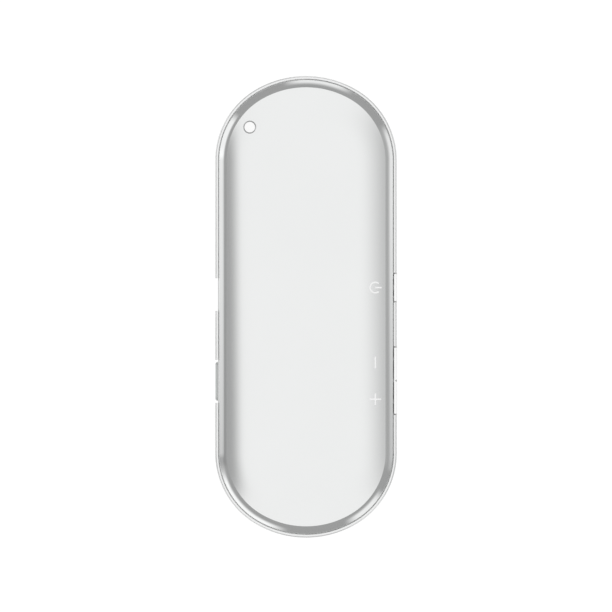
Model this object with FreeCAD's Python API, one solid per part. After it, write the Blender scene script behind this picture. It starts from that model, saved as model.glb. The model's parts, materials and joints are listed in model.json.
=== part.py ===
import FreeCAD
import Part
import os
from math import cos, pi, radians, sin, tan

# Slim wireless speaker with a rounded, pill-shaped outline. Millimetres.
# The front, with the sound holes, lies down on z = 0 and the back is up.
# Y runs along the speaker and X across it.

# Overall form
length = 132.0
width = 52.0
thickness = 10.0
side_turn_radius = 23.5  # where a long side turns into an end
end_half_angle = 30.0  # half of the flatter arc that closes each end
wall = 1.2

# Middle frame: the band round the edge and the ledges that carry the covers
band_height = 5.6
band_width = 0.85
band_edge_radius = 0.5
frame_wall = 2.1
ledge_drop = 0.5
groove = 0.3

# Covers: a polished sloping rim, a crease, and a panel that rolls to flat
rim_outer_tilt = 46.0
rim_inner_tilt = 22.0
crease_inset = 3.28
panel_tilt = 9.5
lip_gap = 0.1
lip_thickness = 0.8
lip_depth = 0.8
lip_root = 1.1
lip_window_margin = 1.2

# Snap hooks on the cover lips
hook_length = 4.0
hook_height = 0.4
hook_reach = 0.3
hook_gap = 0.06
hook_drop = 0.2
hook_root = 0.4
side_hook_y = 32.0

# Lanyard hole
lanyard_inset = 6.93  # from the outer side, square to it
lanyard_angle = 35.0  # round the turn, from the long side
lanyard_radius = 1.5
lanyard_chamfer_width = 0.35
lanyard_chamfer_depth = 0.14
lanyard_boss_wall = 1.1

# Raised control symbols on the back
symbol_inset = 6.2
symbol_height = 0.08
symbol_line = 0.5
symbol_size = 3.3
power_ring_radius = 1.5
power_ring_opening = 100.0
power_bar_length = 1.8
minus_offset = 5.2  # from the middle of the rocker
plus_offset = -5.3

# Sound holes over each driver
hole_radius = 0.85
hole_pitch = 2.8
hole_rows = 3

# Board
board_thickness = 0.8
board_z = 2.9
board_edge_gap = 0.6
board_top_y = 13.0
board_arm = 11.5  # how far the board reaches down beside the lower driver
board_corner = 1.0
board_notch_gap = 0.6
screw_edge = 2.4
screw_side = 4.8
screw_radius = 0.7
screw_pilot_depth = 1.9
screw_head_radius = 1.3
screw_head_height = 0.6
screw_tip_gap = 0.2
screw_hole_gap = 0.1
drive_length = 1.4
drive_width = 0.3
boss_radius = 1.7

# Buttons on the right side
button_proud = 0.05
button_end_gap = 0.36
button_back = 0.85  # how far the cap reaches in from the outer side
button_pocket = 1.15
button_floor = 1.0  # what the pocket leaves of the band below the caps
button_floor_gap = 0.1
power_y = 5.5
power_length = 7.75
power_travel = 0.2
rocker_y = -21.1
rocker_length = 18.85
rocker_swing = 1.1
rocker_post_spacing = 12.0
notch_width = 1.7
notch_depth = 0.65
notch_narrowing = 0.5  # its size at the front, as a share of that at the back
stem_height = 1.2
stem_width = 1.6
stem_gap = 0.12
leg_spacing = 5.6
leg_width = 0.8
barb_reach = 0.35
barb_length = 0.6
barb_gap = 0.05
cap_edge_radius = 0.35
trunnion_radius = 0.6
trunnion_height = 2.8
trunnion_gap = 0.05
trunnion_inset = 1.7
trunnion_wall = 0.65
neck_width = 0.7
neck_gap = 0.1

# Side-push switches
switch_depth = 3.0
switch_width = 4.4
switch_height = 1.9
plunger_length = 0.6
plunger_width = 1.6
plunger_height = 1.0
switch_inset = 4.0
plunger_gap = 0.05
bracket_inset = 0.3
bracket_reach = 0.25
bracket_height = 0.5

# Charging socket on the left side
port_y = 3.5
port_notch_length = 9.26
port_width = 7.5
port_height = 2.6
port_foot_width = 5.6
port_corner_height = 1.0
port_depth = 5.2
port_sheet = 0.25
port_gap = 0.12
port_foot_length = 1.5
port_foot_reach = 0.6
port_foot_edge = 0.3
tongue_width = 3.8
tongue_height = 0.6
tongue_recess = 0.6
socket_back = 1.0

# Memory card and its socket on the left side
card_y = -21.3
card_notch_length = 12.26
card_width = 11.0
card_length = 15.0
card_thickness = 0.7
card_ridge_height = 0.3
card_ridge_length = 1.5
card_ridge_edge = 0.3
card_ridge_margin = 0.8
card_corner = 0.6
card_nick_length = 1.1
card_nick_depth = 0.9
card_narrow_width = 9.7
card_step_length = 7.4
card_recess = 0.12
card_gap = 0.12
card_push = 0.5
card_eject = 4.0
card_socket_floor = 0.45
card_socket_rail = 1.3
card_socket_back = 1.3
card_sheet = 0.2
card_socket_front = 0.7
contact_count = 8
contact_pitch = 1.1
contact_length = 3.4
contact_width = 0.5
contact_depth = 0.2
sheet_window_length = 3.0
sheet_window_width = 1.2
sheet_window_spacing = 6.0

# Battery
battery_width = 31.0
battery_yoke_gap = 13.0  # mean gap from the cell's ends to the magnets of the two drivers
battery_thickness = 3.0
battery_y = 3.0
battery_corner = 1.2
battery_pad_thickness = 0.3
battery_pad_margin = 4.5
seal_length = 1.4
seal_thickness = 0.6
seal_margin = 2.0

# Drivers, one behind each field of sound holes
driver_inset = 23.0
driver_radius = 14.0
driver_gasket_thickness = 0.4
surround_film = 0.1
basket_rim = 0.8
basket_sheet = 0.6
basket_rim_width = 1.4
basket_shoulder = 0.8
basket_depth = 2.9
basket_floor_radius = 11.2
basket_window_angle = 40.0
basket_window_margin = 0.3
yoke_radius = 8.0
yoke_wall = 0.95
yoke_floor = 0.8
yoke_z = 3.3
yoke_height = 3.3
pole_radius = 6.25
pole_thickness = 0.7
magnet_radius = 5.9
coil_gap = 0.25
coil_thickness = 0.3
coil_height = 3.0
cone_edge_z = 1.95
dome_rise = 0.7
dome_film = 0.12
roll_rise = 0.9
driver_travel = 0.25
driver_seat_gap = 0.15
driver_seat_wall = 0.8
driver_seat_height = 1.5
terminal_inset = 0.75
terminal_length = 5.0
terminal_width = 1.3
terminal_thickness = 0.6

# Leads: the points of each route, chosen by hand. Y is counted from the rim of the driver or from
# the seal of the battery that the lead leaves, and Z from the top of the board.
lead_radius = 0.4
upper_lead_points = [
    [(-1.5, -0.1, -0.15), (-1.9, -4.4, 0.35), (-3.4, -9.4, 0.6), (-3.0, -14.0, 0.6), (-3.9, -18.0, 0.42)],
    [(1.5, -0.1, -0.15), (1.2, -4.6, 0.35), (0.4, -9.1, 0.6), (1.1, -13.8, 0.6), (0.3, -18.0, 0.42)],
]
lower_lead_points = [
    [(-1.5, -0.6, -0.15), (-1.6, 1.5, 0.6), (-2.5, 3.8, 0.55), (-2.3, 6.1, 0.42)],
    [(1.5, -0.6, -0.15), (1.6, 1.5, 0.6), (2.2, 3.9, 0.55), (1.9, 6.2, 0.42)],
]
battery_lead_points = [
    [(-7.0, -0.05, 3.1), (-7.1, -2.2, 3.0), (-6.8, -4.6, 0.9), (-6.3, -6.8, 0.45)],
    [(7.0, -0.05, 3.1), (7.0, -2.3, 2.9), (6.5, -4.6, 0.9), (6.3, -6.6, 0.45)],
]

# Components on the board: centre x, centre y, size along x, size along y, height
chips = {
    "bluetooth_chip": (3.0, -5.5, 7.0, 7.0, 0.9),
    "memory_chip": (-8.0, 3.0, 5.0, 4.0, 1.0),
    "crystal": (9.5, -2.4, 3.2, 2.5, 0.7),
    "power_inductor": (-8.4, -4.4, 4.0, 4.0, 1.4),
    "chip_antenna": (6.2, 11.0, 5.2, 2.0, 1.1),
}
capacitor_places = [(12.5, 0.5), (9.9, 0.5), (5.5, 2.0), (3.0, 2.0), (-3.4, 0.6), (-3.4, 2.2)]
capacitor_size = (1.6, 0.8, 0.8)
resistor_places = [(-1.5, -1.2), (-1.5, -3.2), (-1.5, -5.2), (-1.5, -7.2), (-1.5, -9.2),
                   (7.6, 7.0), (10.0, 7.0), (12.4, 7.0)]
resistor_size = (1.0, 0.5, 0.35)

# The amplifier and its capacitors keep by the board's lower end: centre x, and y up from that end
amplifier_place = (9.5, 13.0)
amplifier_size = (5.0, 4.4, 1.1)
amplifier_capacitor_places = [(8.0, 9.8), (10.8, 9.8), (13.4, 13.9), (13.4, 12.1)]

# Sizes that follow from those above
half_width = width / 2
half_length = length / 2
middle_z = thickness / 2
end_radius = side_turn_radius + (half_width - side_turn_radius) / sin(radians(end_half_angle))
end_centre_y = half_length - end_radius
turn_centre_x = half_width - side_turn_radius
turn_centre_y = end_centre_y + (end_radius - side_turn_radius) * cos(radians(end_half_angle))
band_top = middle_z + band_height / 2
seat_z = band_top - ledge_drop
rim_inset = band_width + groove
rim_radius = (crease_inset - rim_inset) / (sin(radians(rim_outer_tilt)) - sin(radians(rim_inner_tilt)))
rim_centre_inset = rim_inset + rim_radius * sin(radians(rim_outer_tilt))
rim_centre_z = band_top - rim_radius * cos(radians(rim_outer_tilt))
crease_z = rim_centre_z + rim_radius * cos(radians(rim_inner_tilt))
panel_radius = (thickness - crease_z) / (1 - cos(radians(panel_tilt)))
hook_sag = (hook_length / 2) ** 2 / (2 * end_radius)  # how far the end arc falls away over half a hook
flat_inset = crease_inset + panel_radius * sin(radians(panel_tilt))
lip_outer = frame_wall + lip_gap
lip_inner = lip_outer + lip_thickness
inside_top = thickness - wall
board_top = board_z + board_thickness
wall_face_x = half_width - frame_wall
button_pocket_z = thickness - band_top + button_floor
card_z = board_top + card_socket_floor + card_gap
driver_bottom = wall + driver_gasket_thickness + surround_film

lanyard_x = -(turn_centre_x + (side_turn_radius - lanyard_inset) * cos(radians(lanyard_angle)))
lanyard_y = turn_centre_y + (side_turn_radius - lanyard_inset) * sin(radians(lanyard_angle))
symbol_x = half_width - symbol_inset
switch_edge_x = half_width - switch_inset
driver_y = half_length - driver_inset
screw_y = (port_y + card_y) / 2
board_side_x = half_width - lip_inner - board_edge_gap
board_bottom_y = board_arm - driver_y
battery_length = 2 * (driver_y - yoke_radius - battery_yoke_gap)
battery_bottom_y = battery_y - battery_length / 2
screw_places = [
    (screw_side - board_side_x, board_top_y - screw_edge),
    (board_side_x - screw_side, board_top_y - screw_edge),
    (screw_side - board_side_x, screw_y),
    (board_side_x - 1.5 * screw_side, board_bottom_y + screw_edge),
]

parts_folder = "parts"


def vector(x, y, z=0.0):
    return FreeCAD.Vector(x, y, z)


def box(x0, x1, y0, y1, z0, z1):
    return Part.makeBox(x1 - x0, y1 - y0, z1 - z0, vector(x0, y0, z0))


def centred_box(x, y, size_x, size_y, z0, z1):
    return box(x - size_x / 2, x + size_x / 2, y - size_y / 2, y + size_y / 2, z0, z1)


def cylinder(radius, x, y, z0, z1):
    return Part.makeCylinder(radius, z1 - z0, vector(x, y, z0))


def pipe(outer, inner, x, y, z0, z1):
    return cylinder(outer, x, y, z0, z1).cut(cylinder(inner, x, y, z0, z1))


def polygon(points):
    return Part.Face(Part.makePolygon(points + points[:1]))


def flipped(shape):
    """The same shape on the front side of the speaker."""
    return shape.mirror(vector(0, 0, middle_z), vector(0, 0, 1))


def joined(shapes):
    if len(shapes) == 1:
        return shapes[0]
    return shapes[0].fuse(shapes[1:]).removeSplitter()


def save(shape, name):
    shape.exportStep(os.path.join(parts_folder, name + ".step"))


# Outline: two straight sides, four turns and two flatter end arcs, all tangent

def arc(centre_x, centre_y, radius, start, stop, z):
    """An arc in the plane at z, with its angles in degrees from +X."""
    points = [vector(centre_x + radius * cos(radians(a)), centre_y + radius * sin(radians(a)), z)
              for a in (start, (start + stop) / 2, stop)]
    return Part.Arc(*points).toShape()


def outline(inset, z):
    """The outline, drawn in from the outer side by inset."""
    x = half_width - inset
    turn = side_turn_radius - inset
    end = end_radius - inset
    join = 90 - end_half_angle
    edges = [
        Part.LineSegment(vector(x, -turn_centre_y, z), vector(x, turn_centre_y, z)).toShape(),
        arc(turn_centre_x, turn_centre_y, turn, 0, join, z),
        arc(0, end_centre_y, end, join, 180 - join, z),
        arc(-turn_centre_x, turn_centre_y, turn, 180 - join, 180, z),
        Part.LineSegment(vector(-x, turn_centre_y, z), vector(-x, -turn_centre_y, z)).toShape(),
        arc(-turn_centre_x, -turn_centre_y, turn, 180, 180 + join, z),
        arc(0, -end_centre_y, end, 180 + join, 360 - join, z),
        arc(turn_centre_x, -turn_centre_y, turn, 360 - join, 360, z),
    ]
    return Part.Wire(edges)


def slab(inset, z0, z1):
    return Part.Face(outline(inset, z0)).extrude(vector(0, 0, z1 - z0))


def hoop(outer_inset, inner_inset, z0, z1):
    return slab(outer_inset, z0, z1).cut(slab(inner_inset, z0, z1))


def at(inset, z):
    """A point of a section through the right side, at mid-length."""
    return vector(half_width - inset, 0, z)


def carried(section):
    """Carry a section round the outline: along a side, round a turn and over half an end, four times."""
    up = vector(0, 0, 1)
    turn_centre = vector(turn_centre_x, turn_centre_y, 0)
    join = 90 - end_half_angle
    side = section.extrude(vector(0, turn_centre_y, 0))
    moved = section.translated(vector(0, turn_centre_y, 0))
    turn = moved.revolve(turn_centre, up, join)
    moved.rotate(turn_centre, up, join)
    end = moved.revolve(vector(0, end_centre_y, 0), up, end_half_angle)
    quarter = side.fuse([turn, end])
    half = quarter.fuse(quarter.mirror(vector(0, 0, 0), vector(1, 0, 0)))
    return half.fuse(half.mirror(vector(0, 0, 0), vector(0, 1, 0))).removeSplitter()


def rim_point(skin, tilt):
    """A point of the sloping rim where it has this tilt, skin deep inside the outer face."""
    reach = rim_radius - skin
    return at(rim_centre_inset - reach * sin(radians(tilt)), rim_centre_z + reach * cos(radians(tilt)))


def rim_arc(skin):
    middle = (rim_outer_tilt + rim_inner_tilt) / 2
    return Part.Arc(rim_point(skin, rim_outer_tilt), rim_point(skin, middle),
                    rim_point(skin, rim_inner_tilt)).toShape()


def panel_point(tilt):
    return at(flat_inset - panel_radius * sin(radians(tilt)),
              thickness - panel_radius * (1 - cos(radians(tilt))))


def dome(base_z):
    """The back cover's outer form, filled down to base_z."""
    start = at(rim_inset, base_z)
    crest = panel_point(0)
    foot = at(flat_inset, base_z)
    edges = [
        Part.LineSegment(start, rim_point(0, rim_outer_tilt)).toShape(),
        rim_arc(0),
        Part.Arc(rim_point(0, rim_inner_tilt), panel_point(panel_tilt / 2), crest).toShape(),
        Part.LineSegment(crest, foot).toShape(),
        Part.LineSegment(foot, start).toShape(),
    ]
    ring = carried(Part.Face(Part.Wire(edges)))
    return ring.fuse(slab(flat_inset, base_z, thickness)).removeSplitter()


def cavity(base_z):
    """The room under the cover, a wall's thickness inside the dome."""
    low = rim_point(wall, rim_outer_tilt)
    start = vector(low.x, 0, base_z)
    shoulder = rim_point(wall, rim_inner_tilt)
    crest = at(flat_inset, inside_top)
    foot = at(flat_inset, base_z)
    edges = [
        Part.LineSegment(start, low).toShape(),
        rim_arc(wall),
        Part.LineSegment(shoulder, crest).toShape(),
        Part.LineSegment(crest, foot).toShape(),
        Part.LineSegment(foot, start).toShape(),
    ]
    ring = carried(Part.Face(Part.Wire(edges)))
    return ring.fuse(slab(flat_inset, base_z, inside_top)).removeSplitter()


# Covers

def hook_blocks(extra):
    """Blocks at the six snap hooks of a cover, larger by extra for their pockets in the frame."""
    z0 = seat_z - lip_depth + hook_drop - extra
    z1 = z0 + hook_height + 2 * extra
    tip = lip_outer - hook_reach - extra
    half = hook_length / 2 + extra
    blocks = []
    for side in (-1, 1):
        outer_x = side * (half_width - tip)
        inner_x = side * (half_width - lip_outer - hook_root)
        x0, x1 = sorted((outer_x, inner_x))
        for y in (-side_hook_y, side_hook_y):
            blocks.append(box(x0, x1, y - half, y + half, z0, z1))
        y0, y1 = sorted((side * (half_length - tip - hook_sag), side * (half_length - lip_outer - hook_root)))
        blocks.append(box(-half, half, y0, y1, z0, z1))
    return blocks


def side_windows():
    """Room in the lips for the sockets and the buttons that pass through the frame."""
    z0, z1 = middle_z - band_height, middle_z + band_height
    right = half_width
    inner = half_width - lip_inner - lip_gap
    margin = lip_window_margin
    spans = [
        (-right, -inner, port_y - port_width / 2 - margin, port_y + port_width / 2 + margin),
        (-right, -inner, card_y - card_notch_length / 2 - margin, card_y + card_notch_length / 2 + margin),
        (inner, right, power_y - power_length / 2 - margin, power_y + power_length / 2 + margin),
        (inner, right, rocker_y - rocker_length / 2 - margin, rocker_y + rocker_length / 2 + margin),
    ]
    return [box(x0, x1, y0, y1, z0, z1) for x0, x1, y0, y1 in spans]


def lip():
    """The wall under the cover that locates it inside the frame, with its snap hooks."""
    ring = hoop(lip_outer, lip_inner, seat_z - lip_depth, seat_z + lip_root)
    return joined([ring] + hook_blocks(0)).cut(joined(side_windows()))


def lanyard_boss(z0, z1):
    return cylinder(lanyard_radius + lanyard_boss_wall, lanyard_x, lanyard_y, z0, z1)


def lanyard_bore():
    """The hole right through, opened out at the back by its chamfer."""
    bore = cylinder(lanyard_radius, lanyard_x, lanyard_y, -1, thickness + 1)
    mouth = Part.makeCone(lanyard_radius, lanyard_radius + 2 * lanyard_chamfer_width,
                          2 * lanyard_chamfer_depth,
                          vector(lanyard_x, lanyard_y, lanyard_face_z() - lanyard_chamfer_depth))
    return bore.fuse(mouth)


def lanyard_face_z():
    """Height of the rolled panel at the middle of the lanyard hole."""
    run = max(flat_inset - lanyard_inset, 0)
    return thickness - (panel_radius - (panel_radius ** 2 - run ** 2) ** 0.5)


def power_symbol(z0, z1):
    """An open ring with a bar from its centre out through the opening, towards the button."""
    ring = pipe(power_ring_radius + symbol_line / 2, power_ring_radius - symbol_line / 2,
                symbol_x, power_y, z0, z1)
    reach = 2 * power_ring_radius
    side = reach * tan(radians(power_ring_opening / 2))
    wedge = polygon([vector(symbol_x, power_y, z0), vector(symbol_x + reach, power_y - side, z0),
                     vector(symbol_x + reach, power_y + side, z0)]).extrude(vector(0, 0, z1 - z0))
    bar = centred_box(symbol_x + power_bar_length / 2, power_y, power_bar_length, symbol_line, z0, z1)
    return ring.cut(wedge).fuse(bar)


def volume_symbols(z0, z1):
    """A minus beside one switch of the rocker and a plus beside the other."""
    minus_y = rocker_y + minus_offset
    plus_y = rocker_y + plus_offset
    bars = [centred_box(symbol_x, y, symbol_line, symbol_size, z0, z1) for y in (minus_y, plus_y)]
    cross = centred_box(symbol_x, plus_y, symbol_size, symbol_line, z0, z1)
    return bars + [cross]


def back_cover():
    shell = dome(seat_z).cut(cavity(seat_z - wall))
    boss = lanyard_boss(middle_z, inside_top + wall / 2)
    shell = joined([shell, lip(), boss])
    low = inside_top
    symbols = joined([power_symbol(low, thickness)] + volume_symbols(low, thickness))
    raised = symbols.common(dome(seat_z).translated(vector(0, 0, symbol_height)))
    return shell.fuse(raised).cut(lanyard_bore()).removeSplitter()


def sound_holes(y):
    """Round holes on a triangular grid, in rings about the driver's axis."""
    holes = []
    for row in range(-hole_rows, hole_rows + 1):
        count = 2 * hole_rows + 1 - abs(row)
        for i in range(count):
            hole_x = (i - (count - 1) / 2) * hole_pitch
            hole_y = y + row * hole_pitch * sin(pi / 3)
            holes.append(cylinder(hole_radius, hole_x, hole_y, -1, wall + 1))
    return holes


def front_cover():
    shell = flipped(dome(seat_z).cut(cavity(seat_z - wall)).fuse(lip()))
    base = wall / 2
    seats = [pipe(driver_radius + driver_seat_gap + driver_seat_wall, driver_radius + driver_seat_gap,
                  0, y, base, wall + driver_seat_height) for y in (-driver_y, driver_y)]
    bosses = [cylinder(boss_radius, x, y, base, board_z) for x, y in screw_places]
    boss = lanyard_boss(base, middle_z)
    shell = joined([shell, boss] + seats + bosses)
    pilots = [cylinder(screw_radius, x, y, board_z - screw_pilot_depth, board_z + 1)
              for x, y in screw_places]
    holes = sound_holes(driver_y) + sound_holes(-driver_y)
    floors = [cylinder(driver_radius + driver_seat_gap, 0, y, wall, middle_z) for y in (-driver_y, driver_y)]
    terminal_gap = 2 * driver_seat_gap
    slots = [centred_box(0, side * (driver_y - driver_radius), terminal_length + terminal_gap,
                         4 * driver_seat_wall, driver_bottom + basket_rim - terminal_gap, board_z)
             for side in (-1, 1)]
    return shell.cut(pilots + holes + floors + slots + [lanyard_bore_front()])


def lanyard_bore_front():
    return flipped(lanyard_bore())


# Middle frame with its openings

def frame_section():
    low, high = thickness - band_top, band_top
    r = band_edge_radius
    slant = r * (1 - cos(pi / 4))

    def line(a, b):
        return Part.LineSegment(a, b).toShape()

    return Part.Face(Part.Wire([
        line(at(band_width, high), at(r, high)),
        Part.Arc(at(r, high), at(slant, high - slant), at(0, high - r)).toShape(),
        line(at(0, high - r), at(0, low + r)),
        Part.Arc(at(0, low + r), at(slant, low + slant), at(r, low)).toShape(),
        line(at(r, low), at(band_width, low)),
        line(at(band_width, low), at(band_width, thickness - seat_z)),
        line(at(band_width, thickness - seat_z), at(frame_wall, thickness - seat_z)),
        line(at(frame_wall, thickness - seat_z), at(frame_wall, seat_z)),
        line(at(frame_wall, seat_z), at(band_width, seat_z)),
        line(at(band_width, seat_z), at(band_width, high)),
    ]))


def port_outline(grow, x):
    """The charging socket's section: a slot with its two lower corners cut off, larger by grow."""
    z0 = board_top - grow
    z1 = board_top + port_height + grow
    half = port_width / 2 + grow
    foot = port_foot_width / 2 + grow / 2
    shoulder = board_top + port_corner_height
    return polygon([vector(x, port_y - half, z1), vector(x, port_y - half, shoulder),
                    vector(x, port_y - foot, z0), vector(x, port_y + foot, z0),
                    vector(x, port_y + half, shoulder), vector(x, port_y + half, z1)])


def socket_notch(y, span):
    """A notch right through the band on the left side."""
    return box(-half_width - 1, band_width - half_width, y - span / 2, y + span / 2, 0, thickness)


def button_cut(y, span):
    """The pocket for a button's cap, open to the back, with a floor towards the front."""
    half = span / 2 + button_end_gap
    return box(half_width - button_pocket, half_width + 1, y - half, y + half, button_pocket_z, thickness)


def stem_holes():
    """Holes in the frame's wall for the posts and the legs of the buttons."""
    x0, x1 = wall_face_x - 1, half_width
    z0 = middle_z - stem_height / 2 - stem_gap
    z1 = middle_z + stem_height / 2 + stem_gap
    post_width = stem_width + 2 * stem_gap
    leg = leg_width + 2 * stem_gap
    holes = [box(x0, x1, power_y - post_width / 2, power_y + post_width / 2, z0, z1)]
    for side in (-1, 1):
        y = rocker_y + side * rocker_post_spacing / 2
        holes.append(box(x0, x1, y - post_width / 2, y + post_width / 2, z0, z1))
        y = power_y + side * leg_spacing / 2
        holes.append(box(x0, x1, y - leg / 2, y + leg / 2, z0, z1))
    return holes


def trunnion_seat():
    """Boss, and the socket cut into it, for the rocker's trunnion."""
    x = half_width - trunnion_inset
    z0, z1 = thickness - seat_z, seat_z
    reach = trunnion_radius + trunnion_gap + trunnion_wall
    boss = cylinder(reach, x, rocker_y, z0, z1)
    boss = boss.common(box(x - reach, half_width - button_pocket, rocker_y - reach, rocker_y + reach, z0, z1))
    half = trunnion_height / 2 + 2 * trunnion_gap
    low, high = middle_z - half, middle_z + half
    socket = cylinder(trunnion_radius + trunnion_gap, x, rocker_y, low, high)
    neck_half = neck_width / 2 + neck_gap
    neck = box(x, half_width, rocker_y - neck_half, rocker_y + neck_half, low, high)
    return boss, socket.fuse(neck)


def mid_frame():
    frame = carried(frame_section())
    boss, socket = trunnion_seat()
    card_half = card_width / 2 + 2 * card_gap
    left_outer, left_inner = -half_width - 1, -wall_face_x + 1
    cuts = [
        socket_notch(port_y, port_notch_length),
        socket_notch(card_y, card_notch_length),
        button_cut(power_y, power_length),
        button_cut(rocker_y, rocker_length),
        port_outline(port_gap, left_outer).extrude(vector(left_inner - left_outer, 0, 0)),
        box(left_outer, left_inner, card_y - card_half, card_y + card_half, card_z - 2 * card_gap,
            card_z + card_thickness + card_ridge_height + 2 * card_gap),
        socket,
    ]
    pockets = hook_blocks(hook_gap)
    frame = frame.fuse(boss)
    return frame.cut(cuts + stem_holes() + pockets + [flipped(p) for p in pockets]).removeSplitter()


# Buttons

def cap(y, span):
    """A button's cap: a bar that fills its pocket up to the band's top, with its outer edges rounded."""
    x0, x1 = half_width - button_back, half_width + button_proud
    bar = box(x0, x1, y - span / 2, y + span / 2, button_pocket_z + button_floor_gap, band_top)
    outer = [e for e in bar.Edges if all(abs(v.X - x1) < 1e-6 for v in e.Vertexes)]
    return bar.makeFillet(cap_edge_radius, outer)


def post_end_x(press):
    """Where a post ends at rest, so that it stops just off its switch when pressed."""
    return switch_edge_x + plunger_length + press + plunger_gap


def power_button():
    z0, z1 = middle_z - stem_height / 2, middle_z + stem_height / 2
    x_cap = half_width - button_back + band_edge_radius / 2
    pieces = [cap(power_y, power_length),
              centred_box((post_end_x(power_travel) + x_cap) / 2, power_y,
                          x_cap - post_end_x(power_travel), stem_width, z0, z1)]
    for side in (-1, 1):
        y = power_y + side * leg_spacing / 2
        x_end = wall_face_x - barb_gap - barb_length
        pieces.append(box(x_end, x_cap, y - leg_width / 2, y + leg_width / 2, z0, z1))
        edge = y + side * leg_width / 2
        catch = wall_face_x - barb_gap
        barb = polygon([vector(x_end, edge, z0), vector(catch, edge, z0),
                        vector(catch, edge + side * barb_reach, z0)])
        pieces.append(barb.extrude(vector(0, 0, z1 - z0)))
    return joined(pieces)


def rocker_notch(outer):
    """What the V groove down the rocker's outer face takes away; it narrows towards the front."""
    rings = []
    for z, share in ((button_pocket_z, notch_narrowing), (band_top + button_floor_gap, 1)):
        half = notch_width / 2 * share
        rings.append([vector(outer - notch_depth * share, rocker_y, z), vector(outer, rocker_y - half, z),
                      vector(outer, rocker_y + half, z)])
    faces = [polygon(ring) for ring in rings]
    front, back = rings
    for i in range(3):
        j = (i + 1) % 3
        faces.append(polygon([front[i], front[j], back[j], back[i]]))
    return Part.makeSolid(Part.makeShell(faces))


def volume_rocker():
    z0, z1 = middle_z - stem_height / 2, middle_z + stem_height / 2
    outer = half_width + button_proud
    x_cap = half_width - button_back + band_edge_radius / 2
    press = rocker_post_spacing / 2 * sin(radians(rocker_swing))
    x = half_width - trunnion_inset
    low, high = middle_z - trunnion_height / 2, middle_z + trunnion_height / 2
    pieces = [cap(rocker_y, rocker_length),
              cylinder(trunnion_radius, x, rocker_y, low, high),
              box(x, x_cap, rocker_y - neck_width / 2, rocker_y + neck_width / 2, low, high)]
    for side in (-1, 1):
        y = rocker_y + side * rocker_post_spacing / 2
        pieces.append(box(post_end_x(press), x_cap, y - stem_width / 2 + 2 * stem_gap,
                          y + stem_width / 2 - 2 * stem_gap, z0, z1))
    return joined(pieces).cut(rocker_notch(outer + 0.01))


def side_switch(y):
    """A switch on the board whose plunger points out to the side."""
    x0 = switch_edge_x - switch_depth
    body = box(x0, switch_edge_x, y - switch_width / 2, y + switch_width / 2,
               board_top, board_top + switch_height)
    x1 = switch_edge_x + plunger_length
    middle = board_top + switch_height / 2
    plunger = box(switch_edge_x, x1, y - plunger_width / 2, y + plunger_width / 2,
                  middle - plunger_height / 2, middle + plunger_height / 2)
    half = switch_width / 2 + bracket_reach
    bracket = box(x0 + bracket_inset, switch_edge_x - bracket_inset, y - half, y + half,
                  board_top, board_top + bracket_height)
    return joined([body, plunger, bracket])


# Board and what is soldered to it

def main_board():
    board = box(-board_side_x, board_side_x, board_bottom_y, board_top_y, board_z, board_top)
    upright = [e for e in board.Edges if abs(e.Vertexes[0].Z - e.Vertexes[-1].Z) > board_thickness / 2]
    board = board.makeFillet(board_corner, upright)
    seat = driver_radius + driver_seat_gap + driver_seat_wall
    notch = cylinder(seat + board_notch_gap, 0, -driver_y, board_z - 1, board_top + 1)
    holes = [cylinder(screw_radius + screw_hole_gap, x, y, board_z - 1, board_top + 1)
             for x, y in screw_places]
    return board.cut([notch] + holes)


def chip(x, y, size_x, size_y, height):
    return centred_box(x, y, size_x, size_y, board_top, board_top + height)


def component_group(places, size):
    return Part.makeCompound([chip(x, y, *size) for x, y in places])


def board_screws():
    """Pan-head screws through the board into the front cover's bosses."""
    screws = []
    for x, y in screw_places:
        head = cylinder(screw_head_radius, x, y, board_top, board_top + screw_head_height)
        head = head.makeFillet(screw_head_height / 2, [head.Edges[0]])
        low = board_top + screw_head_height / 2
        slot = centred_box(x, y, drive_length, drive_width, low, board_top + 1)
        cross = centred_box(x, y, drive_width, drive_length, low, board_top + 1)
        shank = cylinder(screw_radius, x, y, board_z - screw_pilot_depth + screw_tip_gap, board_top)
        screws.append(head.cut([slot, cross]).fuse(shank))
    return Part.makeCompound(screws)


def usb_socket_shell():
    """Folded sheet round the mouth, with a foot on each side that is soldered to the board."""
    mouth = -half_width + band_width
    outer = port_outline(0, mouth).extrude(vector(port_depth, 0, 0))
    inner = port_outline(-port_sheet, mouth - 1).extrude(vector(port_depth + 2, 0, 0))
    half = port_width / 2
    x0 = port_foot_edge - board_side_x
    x1 = x0 + port_foot_length
    feet = []
    for side in (-1, 1):
        inside, face, toe = (port_y + side * (half + reach) for reach in (-port_sheet, 0, port_foot_reach))
        tab_top = board_top + port_corner_height + port_sheet
        feet.append(box(x0, x1, min(inside, face), max(inside, face), board_top, tab_top))
        feet.append(box(x0, x1, min(face, toe), max(face, toe), board_top, board_top + port_sheet))
    return joined([outer.cut(inner)] + feet)


def usb_socket_tongue():
    """The moulded insert: a back wall that fills the shell, and the contact tongue."""
    mouth = -half_width + band_width
    back = mouth + port_depth
    block = port_outline(-port_sheet, back - socket_back).extrude(vector(socket_back, 0, 0))
    z1 = board_top + port_height - port_sheet - tongue_height
    tongue = box(mouth + tongue_recess, back - socket_back, port_y - tongue_width / 2,
                 port_y + tongue_width / 2, z1 - tongue_height, z1)
    return joined([block, tongue])


def card_place():
    """Where the card's outer end, the socket's front and its inner end lie along X."""
    outer = -half_width + card_recess
    inner = outer + card_length
    front = outer + card_ridge_length + card_push + card_socket_front
    return outer, inner, front


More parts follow.
